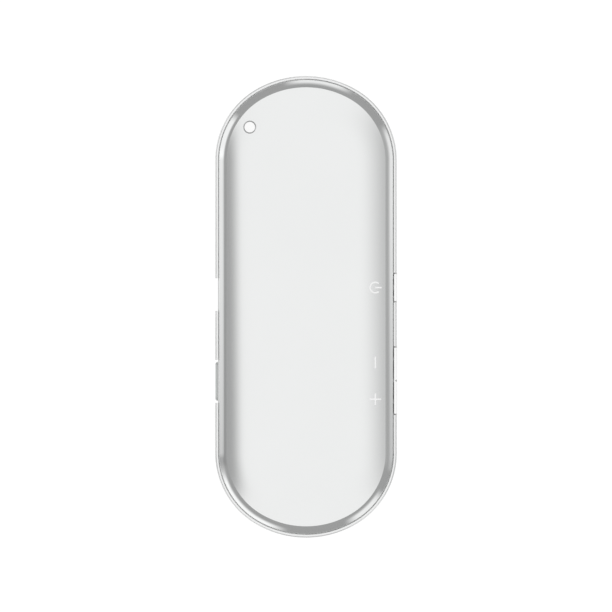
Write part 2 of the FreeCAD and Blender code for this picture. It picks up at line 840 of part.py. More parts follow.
def memory_card():
    """A card with one stepped edge and a ridge across its outer end."""
    outer, inner, _ = card_place()
    y0, y1 = card_y - card_width / 2, card_y + card_width / 2
    step = card_width - card_narrow_width
    x_step = outer + card_step_length
    x_nick = x_step - card_nick_length
    y_nick = y1 - card_nick_depth
    points = [(outer, y0), (inner, y0), (inner, y1 - step), (x_step + step, y1 - step),
              (x_step, y_nick), (x_nick, y_nick), (x_nick, y1), (outer, y1)]
    plate = polygon([vector(x, y, card_z) for x, y in points]).extrude(vector(0, 0, card_thickness))
    upright = [e for e in plate.Edges
               if abs(e.Vertexes[0].Z - e.Vertexes[-1].Z) > card_thickness / 2
               and min(abs(e.Vertexes[0].X - outer), abs(e.Vertexes[0].X - inner)) < 1e-6]
    plate = plate.makeFillet(card_corner, upright)
    ridge = box(outer + card_ridge_edge, outer + card_ridge_length, y0 + card_ridge_margin,
                y1 - card_ridge_margin, card_z + card_thickness,
                card_z + card_thickness + card_ridge_height)
    return joined([plate, ridge])


def card_socket_base():
    """Moulded tray: a floor, two side rails and a back wall behind the card."""
    _, inner, front = card_place()
    stop = inner + card_push + card_gap
    back = stop + card_socket_back
    half_in = card_width / 2 + card_gap
    half_out = half_in + card_socket_rail
    floor_z = board_top + card_socket_floor
    roof_z = card_z + card_thickness + card_gap
    floor = box(front, back, card_y - half_out, card_y + half_out, board_top, floor_z)
    rails = []
    for side in (-1, 1):
        y0, y1 = sorted((card_y + side * half_in, card_y + side * half_out))
        rails.append(box(front, back, y0, y1, board_top, roof_z))
    wall_back = box(stop, back, card_y - half_out, card_y + half_out, board_top, roof_z)
    tray = joined([floor, wall_back] + rails)
    slots = [centred_box(inner - contact_length, card_y + (i - (contact_count - 1) / 2) * contact_pitch,
                         contact_length, contact_width, floor_z - contact_depth, floor_z + contact_depth)
             for i in range(contact_count)]
    return tray.cut(slots)


def card_socket_shell():
    """Folded sheet over the tray, with its sides turned down to the board."""
    _, inner, front = card_place()
    back = inner + card_push + card_gap + card_socket_back
    half = card_width / 2 + card_gap + card_socket_rail
    roof_z = card_z + card_thickness + card_gap
    top = box(front, back, card_y - half - card_sheet, card_y + half + card_sheet,
              roof_z, roof_z + card_sheet)
    sides = [centred_box((front + back) / 2, card_y + side * (half + card_sheet / 2), back - front,
                         card_sheet, board_top, roof_z + card_sheet) for side in (-1, 1)]
    windows = [centred_box(front + sheet_window_length, card_y + side * sheet_window_spacing / 2,
                           sheet_window_length, sheet_window_width, board_top, roof_z + 1)
               for side in (-1, 1)]
    return joined([top] + sides).cut(windows)


# Battery

def battery():
    """Pouch cell with rounded long edges and the folded seal at its lower end."""
    z1 = inside_top - battery_pad_thickness
    z0 = z1 - battery_thickness
    cell = centred_box(0, battery_y, battery_width, battery_length, z0, z1)
    long_edges = [e for e in cell.Edges if abs(e.Vertexes[0].Y - e.Vertexes[-1].Y) > battery_length / 2]
    cell = cell.makeFillet(battery_corner, long_edges)
    middle = (z0 + z1) / 2
    half = battery_width / 2 - seal_margin
    seal = box(-half, half, battery_bottom_y - seal_length, battery_bottom_y, middle - seal_thickness / 2,
               middle + seal_thickness / 2)
    return cell.fuse(seal).removeSplitter()


def battery_pad():
    return centred_box(0, battery_y, battery_width - 2 * battery_pad_margin,
                       battery_length - 2 * battery_pad_margin, inside_top - battery_pad_thickness,
                       inside_top)


# Drivers

def section(points):
    """A face in the plane of the axis, from corners given as radius and height."""
    return polygon([vector(r, 0, z) for r, z in points])


def turned(face, y):
    solid = face.revolve(vector(0, 0, 0), vector(0, 0, 1), 360)
    return solid.translated(vector(0, y, 0))


def driver_gasket(y):
    inner = driver_radius - basket_rim_width
    return pipe(driver_radius, inner, 0, y, wall, wall + driver_gasket_thickness)


def driver_basket(y):
    """A dish: front rim, sloping wall with four windows, and a floor that holds the yoke."""
    z0 = driver_bottom
    rim_inner = driver_radius - basket_rim_width
    back = z0 + basket_depth
    low = back - basket_sheet
    rim_back = z0 + basket_rim
    slant = basket_sheet / 2
    dish = turned(section([
        (driver_radius, z0), (driver_radius, rim_back), (driver_radius - basket_shoulder, rim_back),
        (basket_floor_radius, back), (yoke_radius, back), (yoke_radius, low),
        (basket_floor_radius - slant, low), (rim_inner, rim_back - slant), (rim_inner, z0)]), y)
    windows = []
    for quarter in range(4):
        sector = cylinder(driver_radius, 0, y, rim_back + basket_window_margin, low + slant)
        sector = sector.common(wedge(y, 45 + 90 * quarter, basket_window_angle, z0, back))
        windows.append(sector.cut(cylinder(basket_floor_radius - 2 * basket_sheet, 0, y, z0, back)))
    return dish.cut(windows)


def wedge(y, middle_angle, spread, z0, z1):
    """A triangular prism that opens from a driver's axis at the given angle."""
    reach = 2 * driver_radius
    corners = [vector(0, y, z0)]
    for side in (-1, 1):
        a = radians(middle_angle + side * spread / 2)
        corners.append(vector(reach * cos(a), y + reach * sin(a), z0))
    return polygon(corners).extrude(vector(0, 0, z1 - z0))


def driver_yoke(y):
    inner = yoke_radius - yoke_wall
    top = yoke_z + yoke_height
    return turned(section([(0, top), (yoke_radius, top), (yoke_radius, yoke_z), (inner, yoke_z),
                           (inner, top - yoke_floor), (0, top - yoke_floor)]), y)


def driver_magnet(y):
    return cylinder(magnet_radius, 0, y, yoke_z + pole_thickness, yoke_z + yoke_height - yoke_floor)


def driver_top_plate(y):
    return cylinder(pole_radius, 0, y, yoke_z, yoke_z + pole_thickness)


def voice_coil(y):
    inner = pole_radius + coil_gap
    return pipe(inner + coil_thickness, inner, 0, y, cone_edge_z + dome_film, cone_edge_z + coil_height)


def diaphragm(y):
    """A thin cap that is hollow towards the front, with a flat rim bonded to the coil."""
    edge = pole_radius + coil_gap
    rim = edge + 2 * coil_thickness
    z = cone_edge_z
    top = z + dome_rise
    half = edge / 2
    sag = (edge ** 2 + dome_rise ** 2) / (2 * dome_rise)
    mid = top - (sag - (sag ** 2 - half ** 2) ** 0.5)
    low = Part.Arc(vector(0, 0, top), vector(half, 0, mid), vector(edge, 0, z)).toShape()
    high = Part.Arc(vector(edge, 0, z + dome_film), vector(half, 0, mid + dome_film),
                    vector(0, 0, top + dome_film)).toShape()
    wire = Part.Wire([low,
                      Part.LineSegment(vector(edge, 0, z), vector(rim, 0, z)).toShape(),
                      Part.LineSegment(vector(rim, 0, z), vector(rim, 0, z + dome_film)).toShape(),
                      Part.LineSegment(vector(rim, 0, z + dome_film),
                                       vector(edge, 0, z + dome_film)).toShape(),
                      high,
                      Part.LineSegment(vector(0, 0, top + dome_film), vector(0, 0, top)).toShape()])
    return turned(Part.Face(wire), y)


def surround(y):
    """The rolled film between the diaphragm's rim and the basket's front rim."""
    inner = pole_radius + coil_gap + 2 * coil_thickness
    outer = driver_radius - basket_rim_width
    z0 = driver_bottom - surround_film
    z_in = cone_edge_z
    middle = (inner + outer) / 2
    crest = (z0 + z_in) / 2 + roll_rise
    t = surround_film
    low = Part.Arc(vector(inner, 0, z_in), vector(middle, 0, crest), vector(outer, 0, z0)).toShape()
    high = Part.Arc(vector(outer, 0, z0 + t), vector(middle, 0, crest + t),
                    vector(inner, 0, z_in + t)).toShape()
    rim = driver_radius - surround_film
    wire = Part.Wire([low,
                      Part.LineSegment(vector(outer, 0, z0), vector(rim, 0, z0)).toShape(),
                      Part.LineSegment(vector(rim, 0, z0), vector(rim, 0, z0 + t)).toShape(),
                      Part.LineSegment(vector(rim, 0, z0 + t), vector(outer, 0, z0 + t)).toShape(),
                      high,
                      Part.LineSegment(vector(inner, 0, z_in + t), vector(inner, 0, z_in)).toShape()])
    return turned(Part.Face(wire), y)


def driver_terminal(y):
    """A small contact strip on the back of the basket's rim, on the side nearest the board."""
    side = 1 if y < 0 else -1
    near = y + side * (driver_radius - terminal_inset)
    far = near + side * terminal_width
    y0, y1 = sorted((near, far))
    z0 = driver_bottom + basket_rim
    return box(-terminal_length / 2, terminal_length / 2, y0, y1, z0, z0 + terminal_thickness)


# Leads: straight runs joined by tangent arcs, each as large as its two runs allow

def lead(points, start_y, name):
    """A round lead whose route starts at start_y and is counted up from the board."""
    corners = [vector(x, start_y + y, board_top + z) for x, y, z in points]
    edges = []
    start = corners[0]
    radii = []
    for i in range(1, len(corners) - 1):
        before = corners[i] - corners[i - 1]
        after = corners[i + 1] - corners[i]
        half_turn = before.getAngle(after) / 2
        reach = 0.45 * min(before.Length, after.Length)
        radii.append(reach / tan(half_turn))
        into = corners[i] - before.normalize() * reach
        out = corners[i] + after.normalize() * reach
        bisector = (into + out) * 0.5 - corners[i]
        middle = corners[i] + bisector.normalize() * (radii[-1] / cos(half_turn) - radii[-1])
        edges.append(Part.LineSegment(start, into).toShape())
        edges.append(Part.Arc(into, middle, out).toShape())
        start = out
    edges.append(Part.LineSegment(start, corners[-1]).toShape())
    path = Part.Wire(edges)
    direction = corners[1] - corners[0]
    circle = Part.Wire(Part.Circle(corners[0], direction, lead_radius).toShape())
    tube = path.makePipeShell([circle], True, True)
    run = path.Length
    print(name, "length", round(run, 1), "radii", [round(r, 1) for r in radii],
          "volume over section times length", round(tube.Volume / (pi * lead_radius ** 2 * run), 4))
    return tube


def build():
    os.makedirs(parts_folder, exist_ok=True)
    save(back_cover(), "back_cover")
    save(front_cover(), "front_cover")
    save(mid_frame(), "mid_frame")
    save(power_button(), "power_button")
    save(volume_rocker(), "volume_rocker")
    save(main_board(), "main_board")
    save(board_screws(), "board_screws")
    for name, place in chips.items():
        save(chip(*place), name)
    x, y = amplifier_place
    save(chip(x, board_bottom_y + y, *amplifier_size), "amplifier_chip")
    lower_places = [(x, board_bottom_y + y) for x, y in amplifier_capacitor_places]
    save(component_group(capacitor_places + lower_places, capacitor_size), "capacitors")
    save(component_group(resistor_places, resistor_size), "resistors")
    save(side_switch(power_y), "power_switch")
    save(side_switch(rocker_y - rocker_post_spacing / 2), "volume_up_switch")
    save(side_switch(rocker_y + rocker_post_spacing / 2), "volume_down_switch")
    save(usb_socket_shell(), "usb_socket_shell")
    save(usb_socket_tongue(), "usb_socket_tongue")
    save(card_socket_base(), "card_socket_base")
    save(card_socket_shell(), "card_socket_shell")
    save(memory_card(), "memory_card")
    save(battery(), "battery")
    save(battery_pad(), "battery_pad")
    for prefix, y in (("upper", driver_y), ("lower", -driver_y)):
        save(driver_gasket(y), prefix + "_driver_gasket")
        save(driver_basket(y), prefix + "_driver_basket")
        save(driver_yoke(y), prefix + "_driver_yoke")
        save(driver_magnet(y), prefix + "_driver_magnet")
        save(driver_top_plate(y), prefix + "_driver_top_plate")
        save(voice_coil(y), prefix + "_voice_coil")
        save(diaphragm(y), prefix + "_diaphragm")
        save(surround(y), prefix + "_surround")
        save(driver_terminal(y), prefix + "_driver_terminal")
    rim_y = driver_y - driver_radius
    routes = {
        "upper_speaker_lead": (upper_lead_points, rim_y),
        "lower_speaker_lead": (lower_lead_points, -rim_y),
        "battery_lead": (battery_lead_points, battery_bottom_y - seal_length),
    }
    for stem, (pair, start_y) in routes.items():
        for ending, points in zip(("negative", "positive"), pair):
            name = stem + "_" + ending
            save(lead(points, start_y, name), name)


build()
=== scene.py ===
import json
from math import cos, pi, radians, sin, tan

import bmesh
import bpy
import numpy as np
from mathutils import Matrix, Vector


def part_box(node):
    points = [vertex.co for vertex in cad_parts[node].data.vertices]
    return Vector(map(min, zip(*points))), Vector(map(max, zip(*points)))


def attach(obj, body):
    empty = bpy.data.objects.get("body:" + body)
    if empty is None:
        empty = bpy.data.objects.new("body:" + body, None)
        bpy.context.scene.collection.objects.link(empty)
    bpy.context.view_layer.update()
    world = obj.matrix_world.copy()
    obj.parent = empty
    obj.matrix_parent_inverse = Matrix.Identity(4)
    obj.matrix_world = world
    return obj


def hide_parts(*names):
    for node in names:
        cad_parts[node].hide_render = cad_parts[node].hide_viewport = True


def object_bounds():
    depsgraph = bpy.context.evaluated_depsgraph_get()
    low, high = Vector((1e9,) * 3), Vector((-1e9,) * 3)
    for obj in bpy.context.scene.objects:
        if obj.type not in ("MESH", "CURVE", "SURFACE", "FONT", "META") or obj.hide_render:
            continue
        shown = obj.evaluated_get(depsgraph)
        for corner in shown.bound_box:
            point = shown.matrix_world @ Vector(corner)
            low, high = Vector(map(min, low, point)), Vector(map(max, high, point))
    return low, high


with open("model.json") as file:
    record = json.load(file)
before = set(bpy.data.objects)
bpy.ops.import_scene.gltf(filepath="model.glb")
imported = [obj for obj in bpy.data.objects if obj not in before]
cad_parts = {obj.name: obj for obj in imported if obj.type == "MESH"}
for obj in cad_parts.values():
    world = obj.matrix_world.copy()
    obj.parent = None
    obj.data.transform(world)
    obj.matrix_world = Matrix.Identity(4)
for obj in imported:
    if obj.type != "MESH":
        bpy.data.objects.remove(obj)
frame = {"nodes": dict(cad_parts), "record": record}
cadBox = [list(corner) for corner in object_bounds()]
nodes = frame["nodes"]
print("frame loaded:", len(nodes), "nodes")

mm = 0.001
flatBand = 0.6  # the flats keep a narrow ring round their edge, so that the shading stays level
sharpAngle = radians(9.0)
mergeDistance = 0.0005  # corners closer than this are one
past = 1.0  # how far a cutting shape reaches beyond what it cuts
slack = 0.01  # how far off a face may lie and still count as there
roundSteps = {"pilot": 32, "hole": 48, "bore": 64, "seat": 96}
arcSteps = {"panel": 15, "rim": 13, "inside": 6, "corner": 5, "bandEdge": 13, "ring": 49, "bar": 9}

# Sizes that the three shells share, in millimetres
form = {
    "halfWidth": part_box("mid_frame")[1].x / mm,
    "halfLength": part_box("mid_frame")[1].y / mm,
    "thickness": cadBox[1][2] / mm,
    "sideTurnRadius": 23.5,
    "endHalfAngle": 30.0,
    "wall": 1.2,
    "bandHeight": 5.6,
    "bandWidth": 0.85,
    "bandEdgeRadius": 0.5,
    "frameWall": 2.1,
    "ledgeDrop": 0.5,
    "groove": 0.3,
    "rimOuterTilt": 46.0,
    "rimInnerTilt": 22.0,
    "rimCornerRadius": 0.07,
    "creaseInset": 3.28,
    "panelTilt": 9.5,
    "lipGap": 0.1,
    "lipThickness": 0.8,
    "lipDepth": 0.8,
}

halfWidth = form["halfWidth"]
halfLength = form["halfLength"]
thickness = form["thickness"]
turnRadius = form["sideTurnRadius"]
endRadius = turnRadius + (halfWidth - turnRadius) / sin(radians(form["endHalfAngle"]))
endCentreY = halfLength - endRadius
turnCentreX = halfWidth - turnRadius
turnCentreY = endCentreY + (endRadius - turnRadius) * cos(radians(form["endHalfAngle"]))
middleZ = thickness / 2
bandTop = middleZ + form["bandHeight"] / 2
seatZ = bandTop - form["ledgeDrop"]
rimInset = form["bandWidth"] + form["groove"]
rimSpread = sin(radians(form["rimOuterTilt"])) - sin(radians(form["rimInnerTilt"]))
rimRadius = (form["creaseInset"] - rimInset) / rimSpread
rimCentreInset = rimInset + rimRadius * sin(radians(form["rimOuterTilt"]))
rimCentreZ = bandTop - rimRadius * cos(radians(form["rimOuterTilt"]))
creaseZ = rimCentreZ + rimRadius * cos(radians(form["rimInnerTilt"]))
panelRadius = (thickness - creaseZ) / (1 - cos(radians(form["panelTilt"])))
flatInset = form["creaseInset"] + panelRadius * sin(radians(form["panelTilt"]))
insideTop = thickness - form["wall"]
lipOuter = form["frameWall"] + form["lipGap"]
lipInner = lipOuter + form["lipThickness"]
print("rim radius", round(rimRadius, 3), "panel radius", round(panelRadius, 2))


# A shape is a pair: an array of corners in millimetres, and a list of faces

def combined(shapes):
    # several shapes as one, with the face numbers moved on
    corners, faces, start = [], [], 0
    for points, polygons in shapes:
        corners.append(points)
        faces += [[i + start for i in polygon] for polygon in polygons]
        start += len(points)
    return np.concatenate(corners), faces


def gridFaces(rows, columns, closedRows, closedColumns):
    # quads between neighbours of a rows x columns grid, with the last joined to the first where closed
    r = np.arange(rows if closedRows else rows - 1)
    c = np.arange(columns if closedColumns else columns - 1)
    i, j = np.meshgrid(r, c, indexing="ij")
    nextI, nextJ = (i + 1) % rows, (j + 1) % columns
    quads = [i * columns + j, nextI * columns + j, nextI * columns + nextJ, i * columns + nextJ]
    return np.stack(quads, -1).reshape(-1, 4).tolist()


def mirroredInZ(shape):
    points, faces = shape
    return points * [1, 1, -1] + [0, 0, thickness], faces


def prism(points, shift):
    # a flat outline moved by shift: two ends and a wall between them
    base = np.array(points, float)
    count = len(base)
    wall = gridFaces(2, count, False, True)
    ends = [list(range(count)), list(range(2 * count - 1, count - 1, -1))]
    return np.concatenate([base, base + shift]), wall + ends


def boxShape(x0, x1, y0, y1, z0, z1):
    return prism([(x0, y0, z0), (x1, y0, z0), (x1, y1, z0), (x0, y1, z0)], (0, 0, z1 - z0))


def endFaces(rows, columns):
    # the flat ends of a grid whose rows are rings
    return [list(range(columns)), list(range((rows - 1) * columns, rows * columns))]


def turnedShape(profile, x, y, steps=roundSteps["hole"], closed=False):
    # radius(u) and height(u) turned by the angle v round an upright axis, with flat ends unless closed
    r, z = np.array(profile, float).T
    v = np.arange(steps) * 2 * pi / steps
    ring = [x + np.outer(r, np.cos(v)), y + np.outer(r, np.sin(v)), np.outer(z, np.ones(steps))]
    faces = gridFaces(len(r), steps, closed, True) + ([] if closed else endFaces(len(r), steps))
    return np.stack(ring, -1).reshape(-1, 3), faces


def rodShape(radius, x, y, z0, z1, steps=roundSteps["hole"]):
    return turnedShape([(radius, z0), (radius, z1)], x, y, steps)


def pipeShape(outer, inner, x, y, z0, z1, steps):
    # a square section turned round an upright axis
    return turnedShape([(outer, z0), (outer, z1), (inner, z1), (inner, z0)], x, y, steps, True)


# The outline: where each station of the rim stands, and which way it faces
outlineSteps = {"turn": 30, "end": 36, "side": 10}


def outlineStations():
    # centre + radius * (cos a, sin a) round six arcs, and evenly spaced points along the two sides
    join = 90 - form["endHalfAngle"]
    arcs = [
        (turnCentreX, turnCentreY, turnRadius, 0, join, "turn"),
        (0, endCentreY, endRadius, join, 180 - join, "end"),
        (-turnCentreX, turnCentreY, turnRadius, 180 - join, 180, "turn"),
        (-turnCentreX, -turnCentreY, turnRadius, 180, 180 + join, "turn"),
        (0, -endCentreY, endRadius, 180 + join, 360 - join, "end"),
        (turnCentreX, -turnCentreY, turnRadius, 360 - join, 360, "turn"),
    ]
    places, facings = [], []
    for x, y, radius, start, stop, kind in arcs:
        a = np.radians(np.linspace(start, stop, outlineSteps[kind] + 1))
        if kind == "end":
            a = a[1:-1]
        facing = np.stack([np.cos(a), np.sin(a)], -1)
        places.append(np.array([x, y]) + radius * facing)
        facings.append(facing)
        if stop in (180, 360):
            side = np.linspace(1, -1, outlineSteps["side"] + 1)[1:-1] * (1 if stop == 180 else -1)
            places.append(np.stack([np.full(len(side), facing[-1, 0] * halfWidth), side * turnCentreY], -1))
            facings.append(np.tile([facing[-1, 0], 0.0], (len(side), 1)))
    return np.concatenate(places), np.concatenate(facings)


places, facings = outlineStations()


def carriedShape(profile, closed):
    # place(s) - inset(t) * facing(s), height(t): a section carried round the outline
    # an open section starts and ends on a flat, and a face closes each
    inset, z = np.array(profile, float).T
    count, steps = len(places), len(inset)
    plan = places[:, None, :] - inset[None, :, None] * facings[:, None, :]
    points = np.concatenate([plan, np.broadcast_to(z[None, :, None], (count, steps, 1))], -1)
    faces = gridFaces(count, steps, True, closed)
    if not closed:
        ends = np.arange(count) * steps
        faces += [ends.tolist(), (ends + steps - 1)[::-1].tolist()]
    return points.reshape(-1, 3), faces


def arcPoints(centreInset, centreZ, radius, tilts):
    # the points of a section's arc where its surface has these tilts, in degrees
    a = np.radians(tilts)
    return np.stack([centreInset - radius * np.sin(a), centreZ + radius * np.cos(a)], -1)


def eased(before, corner, after, radius):
    # a corner of a section, rounded by a short parabola between two points near it
    corner = np.array(corner, float)
    away = [np.array(p) - corner for p in (before, after)]
    near = [corner + radius * a / np.linalg.norm(a) for a in away]
    t = np.linspace(0, 1, arcSteps["corner"])[:, None]
    return (1 - t) ** 2 * near[0] + 2 * t * (1 - t) * corner + t ** 2 * near[1]


def coverSection():
    # from the middle of the flat, over the panel and the rim, under the lip and back along the inside
    panelTilts = np.linspace(0, form["panelTilt"], arcSteps["panel"])
    roll = arcPoints(flatInset, thickness - panelRadius, panelRadius, panelTilts)
    rimTilts = np.linspace(form["rimInnerTilt"], form["rimOuterTilt"], arcSteps["rim"])
    rim = arcPoints(rimCentreInset, rimCentreZ, rimRadius, rimTilts)
    inner = rimRadius - form["wall"]
    lipLow = seatZ - form["lipDepth"]
    lipTilt = np.degrees(np.arcsin((rimCentreInset - lipInner) / inner))
    insideTilts = np.linspace(lipTilt, form["rimInnerTilt"], arcSteps["inside"])
    cavity = arcPoints(rimCentreInset, rimCentreZ, inner, insideTilts)
    foot = (rimInset, seatZ)
    return np.concatenate([
        [(flatInset + flatBand, thickness)], roll, rim[1:-1],
        eased(rim[-2], rim[-1], foot, form["rimCornerRadius"]),
        [foot, (lipOuter, seatZ), (lipOuter, lipLow), (lipInner, lipLow)],
        cavity, [(flatInset, insideTop), (flatInset + flatBand, insideTop)],
    ])


def panelHeight(x):
    # height of the back's panel over the straight sides
    run = np.maximum(np.abs(x) - (halfWidth - flatInset), 0)
    return thickness - (panelRadius - np.sqrt(panelRadius ** 2 - run ** 2))


# Objects

def meshObject(name, shape):
    points, faces = shape
    mesh = bpy.data.meshes.new(name)
    mesh.from_pydata(points.tolist(), [], faces)
    work = bmesh.new()
    work.from_mesh(mesh)
    bmesh.ops.recalc_face_normals(work, faces=work.faces)
    work.to_mesh(mesh)
    work.free()
    piece = bpy.data.objects.new(name, mesh)
    bpy.context.scene.collection.objects.link(piece)
    return piece


def worked(name, shape, steps=()):
    # a solid, then each step adds shapes to it or cuts them out of it; the result is in metres
    piece = meshObject(name, shape)
    tools = []
    for i, (operation, shapes) in enumerate(steps):
        tool = meshObject(name + "_tool_" + str(i), combined(shapes))
        tools.append(tool)
        change = piece.modifiers.new(operation.lower(), "BOOLEAN")
        change.operation = operation
        change.solver = "EXACT"
        change.object = tool
    bpy.context.view_layer.update()
    finished = bpy.data.meshes.new_from_object(piece.evaluated_get(bpy.context.evaluated_depsgraph_get()))
    piece.modifiers.clear()
    rough = piece.data
    piece.data = finished
    finished.name = name
    bpy.data.meshes.remove(rough)
    for tool in tools:
        bpy.data.meshes.remove(tool.data)
    work = bmesh.new()
    work.from_mesh(finished)
    bmesh.ops.remove_doubles(work, verts=work.verts, dist=mergeDistance)
    bmesh.ops.dissolve_degenerate(work, edges=work.edges, dist=mergeDistance)
    bmesh.ops.delete(work, geom=[edge for edge in work.edges if edge.is_wire], context="EDGES")
    openEdges = sum(not edge.is_manifold for edge in work.edges)
    work.to_mesh(finished)
    work.free()
    finished.transform(Matrix.Scale(mm, 4))
    finished.shade_smooth()
    finished.set_sharp_from_angle(angle=sharpAngle)
    print(name, len(finished.polygons), "faces, open edges:", openEdges)
    return piece


# Snap hooks, lanyard boss and windows, which both covers have, and what they make room for

hooks = {"length": 4.0, "height": 0.4, "reach": 0.3, "gap": 0.06, "drop": 0.2, "root": 0.4, "sideY": 32.0}
lanyard = {"inset": 6.93, "angle": 35.0, "radius": 1.5, "mouthWidth": 0.40, "mouthDepth": 0.175,
           "bossWall": 1.1}
buttons = {"powerY": 5.5, "powerLength": 7.75, "rockerY": -21.1, "rockerLength": 18.85, "endGap": 0.36,
           "pocket": 1.15, "floor": 1.0}
sockets = {"chargeY": 3.5, "chargeNotch": 9.26, "cardY": -21.3, "cardNotch": 12.26, "windowMargin": 1.2}
chargePort = {"width": 7.5, "height": 2.6, "footWidth": 5.6, "cornerHeight": 1.0, "gap": 0.12, "z": 3.7}
lanyardX = -(turnCentreX + (turnRadius - lanyard["inset"]) * cos(radians(lanyard["angle"])))
lanyardY = turnCentreY + (turnRadius - lanyard["inset"]) * sin(radians(lanyard["angle"]))


def hookShapes(extra):
    # six hooks on the lip, or with extra the pockets that they snap into
    z0 = seatZ - form["lipDepth"] + hooks["drop"] - extra
    z1 = z0 + hooks["height"] + 2 * extra
    tip = lipOuter - hooks["reach"] - extra
    half = hooks["length"] / 2 + extra
    sag = (hooks["length"] / 2) ** 2 / (2 * endRadius)
    shapes = []
    for side in (-1, 1):
        x0, x1 = sorted((side * (halfWidth - tip), side * (halfWidth - lipOuter - hooks["root"])))
        for y in (-hooks["sideY"], hooks["sideY"]):
            shapes.append(boxShape(x0, x1, y - half, y + half, z0, z1))
        y0, y1 = sorted((side * (halfLength - tip - sag), side * (halfLength - lipOuter - hooks["root"])))
        shapes.append(boxShape(-half, half, y0, y1, z0, z1))
    return shapes


def windowShapes():
    # room in the lip for the sockets on the left and the buttons on the right
    inner = halfWidth - lipInner - form["lipGap"]
    margin = sockets["windowMargin"]
    z0, z1 = middleZ - form["bandHeight"], seatZ
    spans = [
        (-halfWidth, -inner, sockets["chargeY"], chargePort["width"]),
        (-halfWidth, -inner, sockets["cardY"], sockets["cardNotch"]),
        (inner, halfWidth, buttons["powerY"], buttons["powerLength"]),
        (inner, halfWidth, buttons["rockerY"], buttons["rockerLength"]),
    ]
    return [boxShape(x0, x1, y - span / 2 - margin, y + span / 2 + margin, z0, z1)
            for x0, x1, y, span in spans]


def lanyardBore():
    return rodShape(lanyard["radius"], lanyardX, lanyardY, -past, thickness + past, roundSteps["bore"])


def lanyardMouth():
    # the hole's bevelled edge: a cone about the panel's own normal, which leans outwards by its tilt there
    run = flatInset - lanyard["inset"]
    r, width, depth = lanyard["radius"], lanyard["mouthWidth"], lanyard["mouthDepth"]
    profile = [(r - width, -2 * depth), (r + 2 * width, depth)]
    cone, faces = turnedShape(profile, 0, 0, roundSteps["bore"])
    tilt, turn = np.arcsin(run / panelRadius), radians(180 - lanyard["angle"])
    normal = Vector((sin(tilt) * cos(turn), sin(tilt) * sin(turn), cos(tilt)))
    lean = np.array(Vector((0, 0, 1)).rotation_difference(normal).to_matrix())
    face = thickness - panelRadius * (1 - cos(tilt))
    return cone @ lean.T + [lanyardX, lanyardY, face], faces


def lanyardBoss():
    radius = lanyard["radius"] + lanyard["bossWall"]
    top = insideTop + form["wall"] / 2
    return rodShape(radius, lanyardX, lanyardY, middleZ, top, roundSteps["bore"])


# Back cover

backCover = worked("back_cover_shell", carriedShape(coverSection(), False), [
    ("DIFFERENCE", windowShapes()),
    ("UNION", hookShapes(0) + [lanyardBoss()]),
    ("DIFFERENCE", [lanyardBore()]),
    ("DIFFERENCE", [lanyardMouth()]),
])
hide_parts("back_cover")

# Raised symbols on the back
symbols = {"inset": 6.2, "height": 0.08, "sink": 0.2, "line": 0.43, "size": 3.3, "edge": 0.03,
           "ringRadius": 1.5, "opening": 100.0, "barLength": 1.8, "minusOffset": 5.2, "plusOffset": -5.3}
symbolX = halfWidth - symbols["inset"]


def ribbonShape(path, width):
    # place(s) + across(t) * side(s), and up(t) over the panel: a flat bead carried along a line
    path = np.array(path, float)
    ahead = np.gradient(path, axis=0)
    ahead /= np.linalg.norm(ahead, axis=1)[:, None]
    side = np.stack([ahead[:, 1], -ahead[:, 0]], -1)
    half, top, edge = width / 2, symbols["height"], symbols["edge"]
    low = -symbols["sink"]
    section = np.array([(-half, low), (-half, top - edge), (-half + edge, top), (half - edge, top),
                        (half, top - edge), (half, low)])
    plan = path[:, None, :] + section[None, :, :1] * side[:, None, :]
    z = panelHeight(plan[:, :, 0]) + section[None, :, 1]
    points = np.concatenate([plan, z[:, :, None]], -1).reshape(-1, 3)
    rows, columns = len(path), len(section)
    return points, gridFaces(rows, columns, False, True) + endFaces(rows, columns)


def barPath(x0, y0, x1, y1):
    t = np.linspace(0, 1, arcSteps["bar"])[:, None]
    return np.array([x0, y0]) * (1 - t) + np.array([x1, y1]) * t


def symbolPieces():
    # an open ring with a bar through its opening, a minus and a plus
    y = buttons["powerY"]
    a = np.radians(np.linspace(symbols["opening"] / 2, 360 - symbols["opening"] / 2, arcSteps["ring"]))
    ring = np.stack([symbolX + symbols["ringRadius"] * np.cos(a), y + symbols["ringRadius"] * np.sin(a)], -1)
    bar = barPath(symbolX, y, symbolX + symbols["barLength"], y)
    half = symbols["size"] / 2
    minusY = buttons["rockerY"] + symbols["minusOffset"]
    plusY = buttons["rockerY"] + symbols["plusOffset"]
    line = symbols["line"]
    minus = ribbonShape(barPath(symbolX, minusY - half, symbolX, minusY + half), line)
    upright = ribbonShape(barPath(symbolX, plusY - half, symbolX, plusY + half), line)
    level = ribbonShape(barPath(symbolX - half, plusY, symbolX + half, plusY), line)
    return [
        worked("power_symbol", combined([ribbonShape(ring, line), ribbonShape(bar, line)])),
        worked("minus_symbol", minus),
        worked("plus_symbol", upright, [("UNION", [level])]),
    ]


symbolMarks = symbolPieces()

# Front cover, with its sound holes
drivers = {"inset": 23.0, "radius": 14.0, "seatGap": 0.15, "seatWall": 0.8, "seatHeight": 1.5, "bottom": 1.7,
           "basketRim": 0.8, "terminalLength": 5.0}
soundHoles = {"radius": 0.85, "pitch": 2.8, "rows": 3, "edge": 0.1}
screws = {"radius": 0.7, "pilotDepth": 1.9, "bossRadius": 1.7, "boardZ": 2.9}
driverY = halfLength - drivers["inset"]


